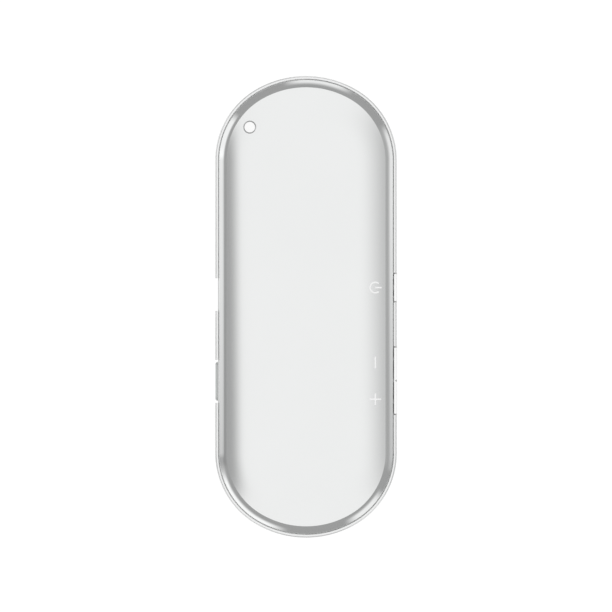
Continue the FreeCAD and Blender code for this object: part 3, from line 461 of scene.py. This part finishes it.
def soundHoleShapes(y):
    # holes on a triangular grid about the driver's axis, each with its outer edge eased
    r, edge = soundHoles["radius"], soundHoles["edge"]
    profile = [(r + 2 * edge, -edge), (r, edge), (r, form["wall"] + past)]
    shapes = []
    for row in range(-soundHoles["rows"], soundHoles["rows"] + 1):
        count = 2 * soundHoles["rows"] + 1 - abs(row)
        for i in range(count):
            x = (i - (count - 1) / 2) * soundHoles["pitch"]
            shapes.append(turnedShape(profile, x, y + row * soundHoles["pitch"] * sin(pi / 3)))
    return shapes


def screwCentres():
    # the four screws share one node: its corners, gathered by quarter of the board
    points = np.array([v.co for v in nodes["board_screws"].data.vertices]) / mm
    left, high = points[:, 0] < 0, points[:, 1] > 0
    groups = [points[a & b] for a in (left, ~left) for b in (high, ~high)]
    return [tuple((g[:, :2].min(0) + g[:, :2].max(0)) / 2) for g in groups if len(g)]


def frontCoverPiece():
    wall = form["wall"]
    base = wall / 2
    seatInner = drivers["radius"] + drivers["seatGap"]
    centres = screwCentres()
    ys = (-driverY, driverY)
    bosses = [rodShape(screws["bossRadius"], x, y, base, screws["boardZ"]) for x, y in centres]
    tip = screws["boardZ"] - screws["pilotDepth"]
    pilots = [rodShape(screws["radius"], x, y, tip, screws["boardZ"] + past, roundSteps["pilot"])
              for x, y in centres]
    seatOuter, seatTop = seatInner + drivers["seatWall"], wall + drivers["seatHeight"]
    seats = [pipeShape(seatOuter, seatInner, 0, y, base, seatTop, roundSteps["seat"]) for y in ys]
    floors = [rodShape(seatInner, 0, y, wall, middleZ, roundSteps["seat"]) for y in ys]
    half = drivers["terminalLength"] / 2 + drivers["seatGap"]
    z0 = drivers["bottom"] + drivers["basketRim"] - 2 * drivers["seatGap"]
    reach, edge = 2 * drivers["seatWall"], driverY - drivers["radius"]
    slots = [boxShape(-half, half, y - reach, y + reach, z0, screws["boardZ"]) for y in (-edge, edge)]
    section = coverSection() * [1, -1] + [0, thickness]
    under = [mirroredInZ(shape) for shape in windowShapes()]
    return worked("front_cover_shell", carriedShape(section, False), [
        ("DIFFERENCE", under),
        ("UNION", [mirroredInZ(shape) for shape in hookShapes(0) + [lanyardBoss()]] + bosses + seats),
        ("DIFFERENCE", floors + pilots),
        ("DIFFERENCE", slots + [lanyardBore()]),
        ("DIFFERENCE", [mirroredInZ(lanyardMouth())]),
        ("DIFFERENCE", soundHoleShapes(driverY) + soundHoleShapes(-driverY)),
    ])


frontCover = frontCoverPiece()
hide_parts("front_cover")

# Middle frame, with the openings for the buttons and the sockets
stems = {"height": 1.2, "width": 1.6, "gap": 0.12, "legSpacing": 5.6, "legWidth": 0.8, "postSpacing": 12.0}
trunnion = {"radius": 0.6, "height": 2.8, "gap": 0.05, "inset": 1.7, "wall": 0.65, "neck": 0.7,
            "neckGap": 0.1}
cardSlot = {"width": 11.0, "gap": 0.12, "z": 4.27, "height": 1.0}
pocketFloor = thickness - bandTop + buttons["floor"]


def frameSection():
    low, high = thickness - bandTop, bandTop
    r, width, wall = form["bandEdgeRadius"], form["bandWidth"], form["frameWall"]
    a = np.linspace(0, pi / 2, arcSteps["bandEdge"])
    upper = np.stack([r - r * np.sin(a), high - r + r * np.cos(a)], -1)
    lower = np.stack([r - r * np.cos(a), low + r - r * np.sin(a)], -1)
    return np.concatenate([[(width, high)], upper, lower, [(width, low), (width, thickness - seatZ),
                           (wall, thickness - seatZ), (wall, seatZ), (width, seatZ)]])


def socketNotch(y, span):
    # right through the band on the left side
    x1 = form["bandWidth"] - halfWidth
    return boxShape(-halfWidth - past, x1, y - span / 2, y + span / 2, -past, thickness + past)


def pocketSpan(end, extra=0.0):
    # where a button's pocket starts and ends along Y
    half = buttons[end + "Length"] / 2 + buttons["endGap"] + extra
    return buttons[end + "Y"] - half, buttons[end + "Y"] + half


def buttonCut(end):
    # open to the back, with a floor towards the front
    y0, y1 = pocketSpan(end)
    return boxShape(halfWidth - buttons["pocket"], halfWidth + past, y0, y1, pocketFloor, thickness + past)


def portCut():
    # the charging socket's outline, with its two lower corners cut off
    grow = chargePort["gap"]
    x0, x1 = -halfWidth - past, -halfWidth + form["frameWall"] + past
    z0, z1 = chargePort["z"] - grow, chargePort["z"] + chargePort["height"] + grow
    half = chargePort["width"] / 2 + grow
    foot = chargePort["footWidth"] / 2 + grow / 2
    shoulder = chargePort["z"] + chargePort["cornerHeight"]
    y = sockets["chargeY"]
    corners = [(x0, y - half, z1), (x0, y - half, shoulder), (x0, y - foot, z0), (x0, y + foot, z0),
               (x0, y + half, shoulder), (x0, y + half, z1)]
    return prism(corners, (x1 - x0, 0, 0))


def stemCuts():
    # holes in the wall for the posts and legs of the buttons
    x0, x1 = halfWidth - form["frameWall"] - past, halfWidth
    z0 = middleZ - stems["height"] / 2 - stems["gap"]
    z1 = middleZ + stems["height"] / 2 + stems["gap"]
    post = stems["width"] / 2 + stems["gap"]
    leg = stems["legWidth"] / 2 + stems["gap"]
    spans = [(buttons["powerY"], post)]
    for side in (-1, 1):
        spans.append((buttons["rockerY"] + side * stems["postSpacing"] / 2, post))
        spans.append((buttons["powerY"] + side * stems["legSpacing"] / 2, leg))
    return [boxShape(x0, x1, y - half, y + half, z0, z1) for y, half in spans]


def midFramePiece():
    y = buttons["rockerY"]
    x = halfWidth - trunnion["inset"]
    reach = trunnion["radius"] + trunnion["gap"] + trunnion["wall"]
    half = trunnion["height"] / 2 + 2 * trunnion["gap"]
    neck = trunnion["neck"] / 2 + trunnion["neckGap"]
    cardHalf = cardSlot["width"] / 2 + 2 * cardSlot["gap"]
    outer, inner = -halfWidth - past, -halfWidth + form["frameWall"] + past
    low, high = cardSlot["z"] - 2 * cardSlot["gap"], cardSlot["z"] + cardSlot["height"] + 2 * cardSlot["gap"]
    cardCut = boxShape(outer, inner, sockets["cardY"] - cardHalf, sockets["cardY"] + cardHalf, low, high)
    pockets = hookShapes(hooks["gap"])
    return worked("mid_frame_band", carriedShape(frameSection(), True), [
        ("UNION", [rodShape(reach, x, y, thickness - seatZ, seatZ)]),
        ("DIFFERENCE", [
            socketNotch(sockets["chargeY"], sockets["chargeNotch"]),
            socketNotch(sockets["cardY"], sockets["cardNotch"]),
            buttonCut("power"),
            buttonCut("rocker"),
        ]),
        ("DIFFERENCE", [portCut(), cardCut, rodShape(trunnion["radius"] + trunnion["gap"], x, y,
                                                     middleZ - half, middleZ + half)] + stemCuts()),
        ("DIFFERENCE", [boxShape(x, halfWidth, y - neck, y + neck, middleZ - half, middleZ + half)]
         + pockets + [mirroredInZ(pocket) for pocket in pockets]),
    ])


midFrame = midFramePiece()
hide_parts("mid_frame")

for piece in [backCover, frontCover, midFrame] + symbolMarks:
    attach(piece, "housing")
print("shells made")


# Finishes

class Value:
    # one output of a material's nodes; + - * / and ** on values add Math nodes
    def __init__(self, finish, socket):
        self.finish = finish
        self.socket = socket

    def math(self, operation, *values):
        inputs = dict(enumerate((self,) + values))
        return self.finish.add("ShaderNodeMath", {"operation": operation}, inputs)

    def __add__(self, other):
        return self.math("ADD", other)

    __radd__ = __add__

    def __mul__(self, other):
        return self.math("MULTIPLY", other)

    __rmul__ = __mul__

    def __sub__(self, other):
        return self.math("SUBTRACT", other)

    def __rsub__(self, other):
        return self.finish.add("ShaderNodeMath", {"operation": "SUBTRACT"}, {0: other, 1: self})

    def __truediv__(self, other):
        return self.math("DIVIDE", other)

    def __pow__(self, other):
        return self.math("POWER", other)

    def above(self, level, blur):
        # 0 below level and 1 above it, smooth over blur
        span = {"Value": self, "From Min": level - blur / 2, "From Max": level + blur / 2}
        return self.finish.add("ShaderNodeMapRange", {"interpolation_type": "SMOOTHSTEP"}, span, "Result")


def between(value, low, high, blur):
    # 1 from low to high and 0 outside, with soft ends
    return value.above(low, blur) * (1 - value.above(high, blur))


class Finish:
    # a node tree with one method for its nodes
    def __init__(self, owner):
        self.owner = owner
        owner.use_nodes = True
        self.tree = owner.node_tree
        self.tree.nodes.clear()

    def add(self, kind, settings=None, inputs=None, output=0):
        node = self.tree.nodes.new(kind)
        for name, value in (settings or {}).items():
            setattr(node, name, value)
        for name, value in (inputs or {}).items():
            if isinstance(value, Value):
                self.tree.links.new(value.socket, node.inputs[name])
            else:
                node.inputs[name].default_value = value
        return Value(self, node.outputs[output])

    def noise(self, scale, detail=3.0, vector=None):
        place = vector or self.add("ShaderNodeTexCoord", output="Object")
        return self.add("ShaderNodeTexNoise", inputs={"Vector": place, "Scale": scale, "Detail": detail},
                        output="Fac")

    def blended(self, share, first, second):
        # a colour between two colours, each a plain tuple or a value
        first, second = [(*c, 1) if isinstance(c, tuple) else c for c in (first, second)]
        return self.add("ShaderNodeMix", {"data_type": "RGBA"}, {0: share, 6: first, 7: second}, 2)

    def axes(self):
        return self.separate(self.add("ShaderNodeTexCoord", output="Object"))

    def separate(self, vector):
        node = self.add("ShaderNodeSeparateXYZ", inputs={"Vector": vector}).socket.node
        return [Value(self, socket) for socket in node.outputs]

    def rays(self, *kinds):
        # for each kind, 1 where the ray is of that kind
        node = self.add("ShaderNodeLightPath").socket.node
        return [Value(self, node.outputs["Is " + kind + " Ray"]) for kind in kinds]

    def bump(self, height, distance, strength=1.0, normal=None):
        # the normal of a surface raised by height x distance, in metres
        inputs = {"Height": height, "Distance": distance, "Strength": strength}
        if normal:
            inputs["Normal"] = normal
        return self.add("ShaderNodeBump", inputs=inputs)

    def end(self, kind, shader):
        node = self.tree.nodes.new(kind)
        self.tree.links.new(shader.socket, node.inputs["Surface"])


inputNames = {"colour": "Base Color", "roughness": "Roughness", "metallic": "Metallic", "normal": "Normal",
              "coat": "Coat Weight", "coatRoughness": "Coat Roughness"}
materials = {}


def newFinish(name):
    materials[name] = bpy.data.materials.new(name)
    return Finish(materials[name])


def closeFinish(finish, **values):
    # a value that is a plain tuple is a colour
    inputs = {inputNames[k]: (*v, 1) if isinstance(v, tuple) else v for k, v in values.items()}
    finish.end("ShaderNodeOutputMaterial", finish.add("ShaderNodeBsdfPrincipled", inputs=inputs))


def scaled(colour, share):
    return tuple(c * share for c in colour)


# Pearl cover: a satin panel inside a polished rim, split at the crease's height
pearl = {"colour": (0.845, 0.852, 0.850), "shade": (0.822, 0.832, 0.829), "metallic": 0.94,
         "panelRoughness": 0.13, "rimRoughness": 0.075, "creaseBlur": 0.00002, "cloud": 45.0,
         "fleck": 5200.0, "fleckSwing": 0.02, "rimShare": 0.2, "fleckDepth": 0.0000012, "fleckStrength": 0.6,
         "twist": 0.75, "twistFrom": 0.04, "twistSpan": 0.08}


def pearlFinish(name):
    # the panel above the crease is duller than the rim, and the whole moulding has a slight twist along Y
    f = newFinish(name)
    x, y, z = f.axes()
    panel = z.above(creaseZ * mm, pearl["creaseBlur"])
    fleck = f.noise(pearl["fleck"], 2.0)
    cloud = f.noise(pearl["cloud"], 2.0)
    tone = f.blended(cloud, pearl["colour"], pearl["shade"])
    rough = panel * (pearl["panelRoughness"] - pearl["rimRoughness"]) + pearl["rimRoughness"]
    rough = rough + (fleck - 0.5) * pearl["fleckSwing"] * (panel + pearl["rimShare"])
    slope = (y * -1 + pearl["twistFrom"]) * (tan(radians(pearl["twist"])) / pearl["twistSpan"])
    grained = f.bump(fleck * panel, pearl["fleckDepth"], pearl["fleckStrength"])
    closeFinish(f, colour=tone, metallic=pearl["metallic"], roughness=rough,
                normal=f.bump(x * slope, 1.0, 1.0, grained))


# Mouldings: frame, front cover, buttons, symbols and the grey card
mouldings = {
    "frame_white": {"colour": (0.865, 0.868, 0.868), "roughness": 0.13, "metallic": 0.6, "coat": 0.3,
                    "grain": 2600.0, "depth": 0.000001},
    "front_white": {"colour": (0.88, 0.88, 0.875), "roughness": 0.34, "metallic": 0.0, "coat": 0.0,
                    "grain": 4200.0, "depth": 0.000004},
    "button_white": {"colour": (0.955, 0.955, 0.955), "roughness": 0.12, "metallic": 0.0, "coat": 0.6,
                     "grain": 2600.0, "depth": 0.000001},
    "symbol_white": {"colour": (0.91, 0.91, 0.91), "roughness": 0.22, "metallic": 0.0, "coat": 0.2,
                     "grain": 5000.0, "depth": 0.000001},
    "card_grey": {"colour": (0.66, 0.68, 0.67), "roughness": 0.38, "metallic": 0.0, "coat": 0.0,
                  "grain": 5200.0, "depth": 0.000004},
}
moulded = {"grainSwing": 0.08, "cloud": 60.0, "cloudTone": 0.975, "cloudSwing": 0.04, "coatRoughness": 0.06}


def mouldedFinish(name):
    # fine moulded grain, with a faint cloudiness in tone and gloss
    own = mouldings[name]
    f = newFinish(name)
    grain = f.noise(own["grain"])
    cloud = f.noise(moulded["cloud"])
    tone = f.blended(cloud, own["colour"], scaled(own["colour"], moulded["cloudTone"]))
    rough = (grain - 0.5) * moulded["grainSwing"] + cloud * moulded["cloudSwing"] + own["roughness"]
    closeFinish(f, colour=tone, roughness=rough, metallic=own["metallic"], coat=own["coat"],
                coatRoughness=moulded["coatRoughness"], normal=f.bump(grain, own["depth"]))


# Painted shade and light on the frame's ledges and pockets, standing in for the shadow in the grooves and
# gaps: darker at the right, pale painted light in the pockets, grey painted shade where the notch shows it
# left and right: the painted groove shade on each side; pocket: painted light; notch: painted shade
insidePaintedShade = {"left": (0.74, 0.745, 0.74), "right": (0.64, 0.645, 0.64), "pocket": (0.97, 0.97, 0.965),
               "notch": (0.66, 0.665, 0.66), "roughness": 0.45, "grain": 3000.0, "grainSwing": 0.08,
               "depth": 0.000003, "blur": 0.0001, "pocketBlur": 0.00001, "pocketMargin": 0.05,
               "notchReach": 0.75, "notchHalf": 1.3, "skin": 0.1}


def insidePaintedShadeFinish():
    f = newFinish("frame_inside_painted_shade")
    x, y, z = f.axes()
    grain = f.noise(insidePaintedShade["grain"])
    blur, middle, half = insidePaintedShade["blur"], buttons["rockerY"], insidePaintedShade["notchHalf"]
    spans = [pocketSpan("power"), pocketSpan("rocker"), (middle - half, middle + half)]
    power, rocker, centre = [between(y, y0 * mm, y1 * mm, blur) for y0, y1 in spans]
    pocketSide = halfWidth - buttons["pocket"] - insidePaintedShade["pocketMargin"]
    pocket = x.above(pocketSide * mm, insidePaintedShade["pocketBlur"]) * (power + rocker)
    notch = x.above((halfWidth - insidePaintedShade["notchReach"]) * mm, blur) * centre
    # painted shade: ledges darker on the right side than the left, then pale painted light in the pockets
    # and grey painted shade in the rocker's notch
    tone = f.blended(x.above(0.0, blur), insidePaintedShade["left"], insidePaintedShade["right"])
    tone = f.blended(pocket, tone, insidePaintedShade["pocket"])
    tone = f.blended(notch, tone, insidePaintedShade["notch"])
    rough = (grain - 0.5) * insidePaintedShade["grainSwing"] + insidePaintedShade["roughness"]
    closeFinish(f, colour=tone, roughness=rough, normal=f.bump(grain, insidePaintedShade["depth"]))


# Plain inner materials: colour, roughness, metallic, grain scale and depth in metres
innerFinishes = {
    "socket_black": ((0.03, 0.03, 0.03), 0.42, 0.0, 5000.0, 0.000003),
    "basket_black": ((0.05, 0.05, 0.055), 0.5, 0.0, 3800.0, 0.000006),
    "chip_black": ((0.03, 0.03, 0.035), 0.55, 0.0, 9000.0, 0.000005),
    "antenna_white": ((0.8, 0.82, 0.84), 0.4, 0.0, 7000.0, 0.000003),
    "capacitor_tan": ((0.55, 0.4, 0.26), 0.45, 0.0, 8000.0, 0.000003),
    "resistor_black": ((0.05, 0.05, 0.06), 0.3, 0.0, 8000.0, 0.000002),
    "inductor_grey": ((0.12, 0.12, 0.13), 0.6, 0.0, 6000.0, 0.000008),
    "terminal_board": ((0.35, 0.22, 0.08), 0.5, 0.0, 5000.0, 0.000004),
    "lead_red": ((0.55, 0.03, 0.03), 0.35, 0.0, 3000.0, 0.000002),
    "lead_black": ((0.03, 0.03, 0.03), 0.35, 0.0, 3000.0, 0.000002),
    "surround_film": ((0.1, 0.1, 0.11), 0.45, 0.0, 4000.0, 0.000003),
    "magnet_nickel": ((0.7, 0.7, 0.68), 0.12, 1.0, 2500.0, 0.0000015),
}
plain = {"swing": 0.15, "mottleShare": 12, "mottleTone": 0.8}


def plainFinish(name):
    # a fine grain, and a wider mottling of the tone
    colour, roughness, metallic, scale, depth = innerFinishes[name]
    f = newFinish(name)
    grain = f.noise(scale, 4.0)
    mottle = f.noise(scale / plain["mottleShare"], 2.0)
    tone = f.blended(mottle, colour, scaled(colour, plain["mottleTone"]))
    closeFinish(f, colour=tone, metallic=metallic, roughness=(grain - 0.5) * plain["swing"] + roughness,
                normal=f.bump(grain, depth))


# Plated and rolled metals: colour, roughness, and how far the brushing is drawn out along each axis
metals = {
    "socket_steel": ((0.72, 0.72, 0.70), 0.26, (400.0, 9000.0, 9000.0)),
    "switch_steel": ((0.66, 0.66, 0.66), 0.3, (9000.0, 500.0, 9000.0)),
    "crystal_steel": ((0.75, 0.74, 0.70), 0.22, (500.0, 9000.0, 9000.0)),
    "screw_steel": ((0.62, 0.62, 0.63), 0.28, (5000.0, 5000.0, 800.0)),
    "yoke_steel": ((0.60, 0.60, 0.62), 0.34, (3500.0, 3500.0, 3500.0)),
}
brushed = {"swing": 0.16, "depth": 0.000002, "stain": 220.0, "stainTone": 0.86, "stainSwing": 0.06}


def brushedFinish(name):
    colour, roughness, scale = metals[name]
    f = newFinish(name)
    place = f.add("ShaderNodeTexCoord", output="Object")
    drawn = f.add("ShaderNodeMapping", inputs={"Vector": place, "Scale": scale})
    lines = f.noise(1.0, 4.0, drawn)
    stain = f.noise(brushed["stain"])
    tone = f.blended(stain, colour, scaled(colour, brushed["stainTone"]))
    rough = (lines - 0.5) * brushed["swing"] + stain * brushed["stainSwing"] + roughness
    closeFinish(f, colour=tone, metallic=1.0, roughness=rough, normal=f.bump(lines, brushed["depth"]))


board = {"mask": (0.020, 0.150, 0.068), "track": (0.040, 0.250, 0.110), "roughness": 0.3, "swing": 0.1,
         "coat": 0.4, "coatRoughness": 0.1, "lanes": 900.0, "jump": 0.5, "jumpBlur": 0.02,
         "wander": 260.0, "lanesTurn": 0.5, "rowsTurn": 0.56, "patch": 140.0, "patchBlur": 0.01,
         "lanesFrom": 0.6, "rowsFrom": 0.62, "trackBlur": 0.06, "weave": 3000.0, "trackShare": 0.8,
         "weaveShare": 0.2, "depth": 0.00002}


def boardFinish():
    # green mask over copper tracks on a fine grid, which run along X in some patches and along Y in others
    f = newFinish("board_green")
    x, y, z = f.axes()
    wander = f.noise(board["wander"], 0.0)
    jumps = [wander.above(board[turn], board["jumpBlur"]) * board["jump"]
             for turn in ("lanesTurn", "rowsTurn")]
    lanes = (x * board["lanes"] + jumps[0]).math("FRACT")
    rows = (y * board["lanes"] + jumps[1]).math("FRACT")
    patch = f.noise(board["patch"], 0.0).above(0.5, board["patchBlur"])
    blur = board["trackBlur"]
    track = lanes.above(board["lanesFrom"], blur) * patch + rows.above(board["rowsFrom"], blur) * (1 - patch)
    weave = f.noise(board["weave"], 2.0)
    relief = track * board["trackShare"] + weave * board["weaveShare"]
    closeFinish(f, colour=f.blended(track, board["mask"], board["track"]),
                roughness=weave * board["swing"] + board["roughness"], coat=board["coat"],
                coatRoughness=board["coatRoughness"], normal=f.bump(relief, board["depth"]))


foil = {"colour": (0.72, 0.73, 0.75), "shade": (0.60, 0.61, 0.63), "roughness": 0.24, "swing": 0.16,
        "wrinkle": 160.0, "crinkle": 1500.0, "crinkleShare": 0.12, "depth": 0.00012, "strength": 0.6}


def foilFinish():
    # laminated pouch: wide soft wrinkles and a fine crinkle
    f = newFinish("battery_foil")
    wrinkle = f.noise(foil["wrinkle"], 2.0)
    crinkle = f.noise(foil["crinkle"], 4.0)
    relief = wrinkle + crinkle * foil["crinkleShare"]
    closeFinish(f, colour=f.blended(wrinkle, foil["colour"], foil["shade"]), metallic=1.0,
                roughness=crinkle * foil["swing"] + foil["roughness"],
                normal=f.bump(relief, foil["depth"], foil["strength"]))


foams = {"pad_foam": (0.07, 0.07, 0.07), "gasket_foam": (0.045, 0.045, 0.045)}
# light: how much lighter the cells' rims are painted than their pits, a painted highlight
foam = {"cells": 5200.0, "light": 1.5, "roughness": 0.82, "swing": 0.1, "depth": 0.00006}


def foamFinish(name):
    # closed cells as small rounded pits, with painted shade: each pit's tone darker and its rim painted
    # lighter
    colour = foams[name]
    f = newFinish(name)
    place = f.add("ShaderNodeTexCoord", output="Object")
    cells = f.add("ShaderNodeTexVoronoi", {"feature": "F1"}, {"Vector": place, "Scale": foam["cells"]})
    # painted shade in the pits and painted light on the rims
    tone = f.blended(cells, colour, scaled(colour, foam["light"]))
    closeFinish(f, colour=tone, roughness=cells * foam["swing"] + foam["roughness"],
                normal=f.bump(cells, foam["depth"]))


coil = {"colour": (0.78, 0.36, 0.16), "shade": (0.62, 0.26, 0.11), "roughness": 0.22, "swing": 0.1,
        "wire": 0.00012, "patina": 900.0, "depth": 0.00005}


def coilFinish():
    # enamelled wire wound round the former: one ridge for each turn
    f = newFinish("coil_copper")
    x, y, z = f.axes()
    turns = (z * (2 * pi / coil["wire"])).math("SINE") * 0.5 + 0.5
    patina = f.noise(coil["patina"], 2.0)
    closeFinish(f, colour=f.blended(patina, coil["colour"], coil["shade"]), metallic=1.0,
                roughness=patina * coil["swing"] + coil["roughness"], normal=f.bump(turns, coil["depth"]))


film = {"colour": (0.64, 0.62, 0.57), "shade": (0.56, 0.54, 0.50), "metallic": 0.75, "roughness": 0.22,
        "swing": 0.12, "crease": 500.0, "speck": 6000.0, "depth": 0.00003, "strength": 0.5}


def diaphragmFinish():
    # thin metallised film with a faint mottled sheen and a few soft creases
    f = newFinish("diaphragm_film")
    crease = f.noise(film["crease"])
    speck = f.noise(film["speck"], 2.0)
    closeFinish(f, colour=f.blended(crease, film["colour"], film["shade"]), metallic=film["metallic"],
                roughness=speck * film["swing"] + film["roughness"],
                normal=f.bump(crease, film["depth"], film["strength"]))


pearlFinish("cover_pearl")
for name in mouldings:
    mouldedFinish(name)
for name in innerFinishes:
    plainFinish(name)
for name in metals:
    brushedFinish(name)
insidePaintedShadeFinish()
boardFinish()
foilFinish()
for name in foams:
    foamFinish(name)
coilFinish()
diaphragmFinish()


def dress(piece, name):
    piece.data.materials.clear()
    piece.data.materials.append(materials[name])


def paintedShadeFaces(mesh):
    # 1 for the frame's ledges, which its grooves show, and for the sides and floors of the buttons' pockets:
    # the faces that get the painted shade and light
    middles = np.empty(len(mesh.polygons) * 3)
    mesh.polygons.foreach_get("center", middles)
    x, y, z = middles.reshape(-1, 3).T / mm
    inside = np.abs(np.abs(z - middleZ) - (seatZ - middleZ)) < slack
    deep = (x > halfWidth - buttons["pocket"] - slack) & (x < halfWidth - insidePaintedShade["skin"])
    deep &= z > pocketFloor - slack
    for end in ("power", "rocker"):
        y0, y1 = pocketSpan(end, slack)
        inside |= deep & (y > y0) & (y < y1)
    return inside.astype(np.int32)


for entry in frame["record"]["subparts"]:
    dress(nodes[entry["node"]], entry["material_slot"])
for piece, name in ((backCover, "cover_pearl"), (frontCover, "front_white"), (midFrame, "frame_white")):
    dress(piece, name)
# the ledges and pockets take the painted shade and light of the frame's inside
midFrame.data.materials.append(materials["frame_inside_painted_shade"])
midFrame.data.polygons.foreach_set("material_index", paintedShadeFaces(midFrame.data))
for piece in symbolMarks:
    dress(piece, "symbol_white")
print("finishes made:", len(materials))


# Studio: a white floor, a plain white sky, and soft boxes that only reflections see

# reflections see the floor pale near the speaker, and further out as the studio is at the horizon
floorShade = {"glow": 0.95, "fade": (0.16, 0.24), "tone": 0.12, "bounce": 0.5, "size": 6.0, "drop": 0.00002}
sky = {"level": 0.55, "overhead": 0.675}  # what lights the matt surfaces, stronger from above
studio = {
    "wall": 0.365,
    "box": 1.02,  # overhead, long in Y
    "boxLeft": (-0.238, 0.13),  # where its edge lies in the direction's x, and how soft it is
    "boxRight": (0.262, 0.44),
    "bow": 2.4,  # how fast its sides spread towards its ends
    "lean": 0.14,
    "boxEnds": (0.50, 0.12),
    "boxLow": (0.85, 0.1),  # how high it begins, in the direction's z
}
# strip lights round the speaker: azimuth, half width and its softness in degrees, then the light's top in
# the direction's z, its softness, and its strength
strips = {
    "right": (7, 15, 14, 0.40, 0.36, 0.86),
    "top": (82, 16, 14, 0.36, 0.40, 0.97),
    "upperLeft": (163, 17, 10, 0.50, 0.16, 1.06),
    "left": (188, 12, 16, 0.42, 0.30, 0.56),
    "lowerLeft": (225, 26, 16, 0.34, 0.30, 1.14),
    "lowerRight": (312, 13, 14, 0.48, 0.30, 1.02),
    "rightHigh": (8, 17, 10, 0.80, 0.14, 0.44),
}


def flatSheet(name, corners, finishName):
    # one flat face of the studio
    mesh = bpy.data.meshes.new(name)
    mesh.from_pydata(corners, [], [(0, 1, 2, 3)])
    mesh.materials.append(materials[finishName])
    sheet = bpy.data.objects.new(name, mesh)
    bpy.context.scene.collection.objects.link(sheet)
    return sheet


def stageFloor():
    f = newFinish("floor_white")
    camera, glossy, passed = f.rays("Camera", "Glossy", "Transmission")
    x, y, z = f.axes()
    fade = (x * x + y * y).math("SQRT").above(*floorShade["fade"])
    far = sum((stripLight((x, y, z), strip) for strip in strips.values()), studio["wall"])
    glow = (camera + passed) * floorShade["glow"]
    glow = glow + glossy * (fade * (far - floorShade["glow"]) + floorShade["glow"])
    seen = camera + glossy + passed
    tone = f.blended(seen, (floorShade["bounce"],) * 3, (floorShade["tone"],) * 3)
    matt = f.add("ShaderNodeBsdfDiffuse", inputs={"Color": tone})
    light = f.add("ShaderNodeEmission", inputs={"Strength": glow})
    f.end("ShaderNodeOutputMaterial", f.add("ShaderNodeAddShader", inputs={0: matt, 1: light}))
    size, low = floorShade["size"] / 2, -floorShade["drop"]
    corners = [(-size, -size, low), (size, -size, low), (size, size, low), (-size, size, low)]
    floor = flatSheet("floor", corners, "floor_white")


def stripLight(direction, strip):
    # azimuth by the angle to the strip's own direction, height by the direction's z
    x, y, z = direction
    azimuth, half, soft, top, topSoft, strength = strip
    flat = (x * x + y * y) ** 0.5
    along = (x * cos(radians(azimuth)) + y * sin(radians(azimuth))) / flat
    near, far = cos(radians(half - soft / 2)), cos(radians(half + soft / 2))
    lit = along.above((near + far) / 2, near - far) * (1 - z.above(top, topSoft))
    return lit * (strength - studio["wall"])


def stageSky():
    world = bpy.data.worlds.new("studio")
    bpy.context.scene.world = world
    world.cycles.sampling_method = "NONE"
    f = Finish(world)
    direction = f.separate(f.add("ShaderNodeTexCoord"))
    x, y, z = direction
    lean, bow = x + y * studio["lean"], y * y * studio["bow"]
    edge, soft = studio["boxLeft"]
    box = (lean + bow).above(edge, soft)
    edge, soft = studio["boxRight"]
    box = box * (1 - (lean - bow).above(edge, soft))
    edge, soft = studio["boxEnds"]
    box = box * (1 - y.above(edge, soft)) * y.above(-edge, soft) * z.above(*studio["boxLow"])
    light = box * (studio["box"] - studio["wall"]) + studio["wall"]
    for strip in strips.values():
        light = light + stripLight(direction, strip)
    seen, glossy = f.rays("Camera", "Glossy")
    matt = z * sky["overhead"] + sky["level"]
    strength = seen + (1 - seen) * (glossy * (light - matt) + matt)
    f.end("ShaderNodeOutputWorld",
          f.add("ShaderNodeBackground", inputs={"Color": (1, 1, 1, 1), "Strength": strength}))


# Grey filters that stand beside the speaker and dim its side reflections towards the lower end
filters = {
    "x": 0.12,
    "reach": 0.105,
    "height": 0.11,
    "span": 0.085,  # over how much of Y it turns grey
    "end": (-0.0625, 0.015),  # where in Y it is clear again, and over how much
    "left": {"side": -1, "darkest": 0.74, "middle": -0.014, "top": (0.085, 0.05)},
    "right": {"side": 1, "darkest": 0.67, "middle": -0.002, "top": (0.065, 0.06)},
}


def stageFilter(one):
    # an upright clear sheet, greyer downwards in Y and clear again towards its top; only reflections meet it
    f = newFinish("side_filter")
    x, y, z = f.axes()
    grey = (1 - y.above(one["middle"], filters["span"])) * y.above(*filters["end"])
    tone = f.blended(grey * (1 - z.above(*one["top"])), (1, 1, 1), (one["darkest"],) * 3)
    f.end("ShaderNodeOutputMaterial", f.add("ShaderNodeBsdfTransparent", inputs={"Color": tone}))
    side, reach, height = one["side"] * filters["x"], filters["reach"], filters["height"]
    corners = [(side, -reach, 0), (side, reach, 0), (side, reach, height), (side, -reach, height)]
    sheet = flatSheet("side_filter", corners, "side_filter")
    for kind in ("camera", "diffuse", "transmission", "volume_scatter", "shadow"):
        setattr(sheet, "visible_" + kind, False)


# The photograph looks straight down on the back: 3.5 of its pixels to a millimetre, 612 across
view = {"pixels": 612, "pixelsPerMm": 3.5, "centreX": 306.0, "centreY": 306.8, "height": 0.5}


def stageCamera():
    camera = bpy.data.cameras.new("camera")
    camera.type = "ORTHO"
    camera.ortho_scale = view["pixels"] / view["pixelsPerMm"] * mm
    eye = bpy.data.objects.new("camera", camera)
    middle = view["pixels"] / 2
    eye.location = ((middle - view["centreX"]) / view["pixelsPerMm"] * mm,
                    (view["centreY"] - middle) / view["pixelsPerMm"] * mm, view["height"])
    bpy.context.scene.collection.objects.link(eye)
    bpy.context.scene.camera = eye


stageFloor()
stageSky()
stageFilter(filters["left"])
stageFilter(filters["right"])
stageCamera()
bpy.context.scene.view_settings.view_transform = "Standard"
print("studio made")
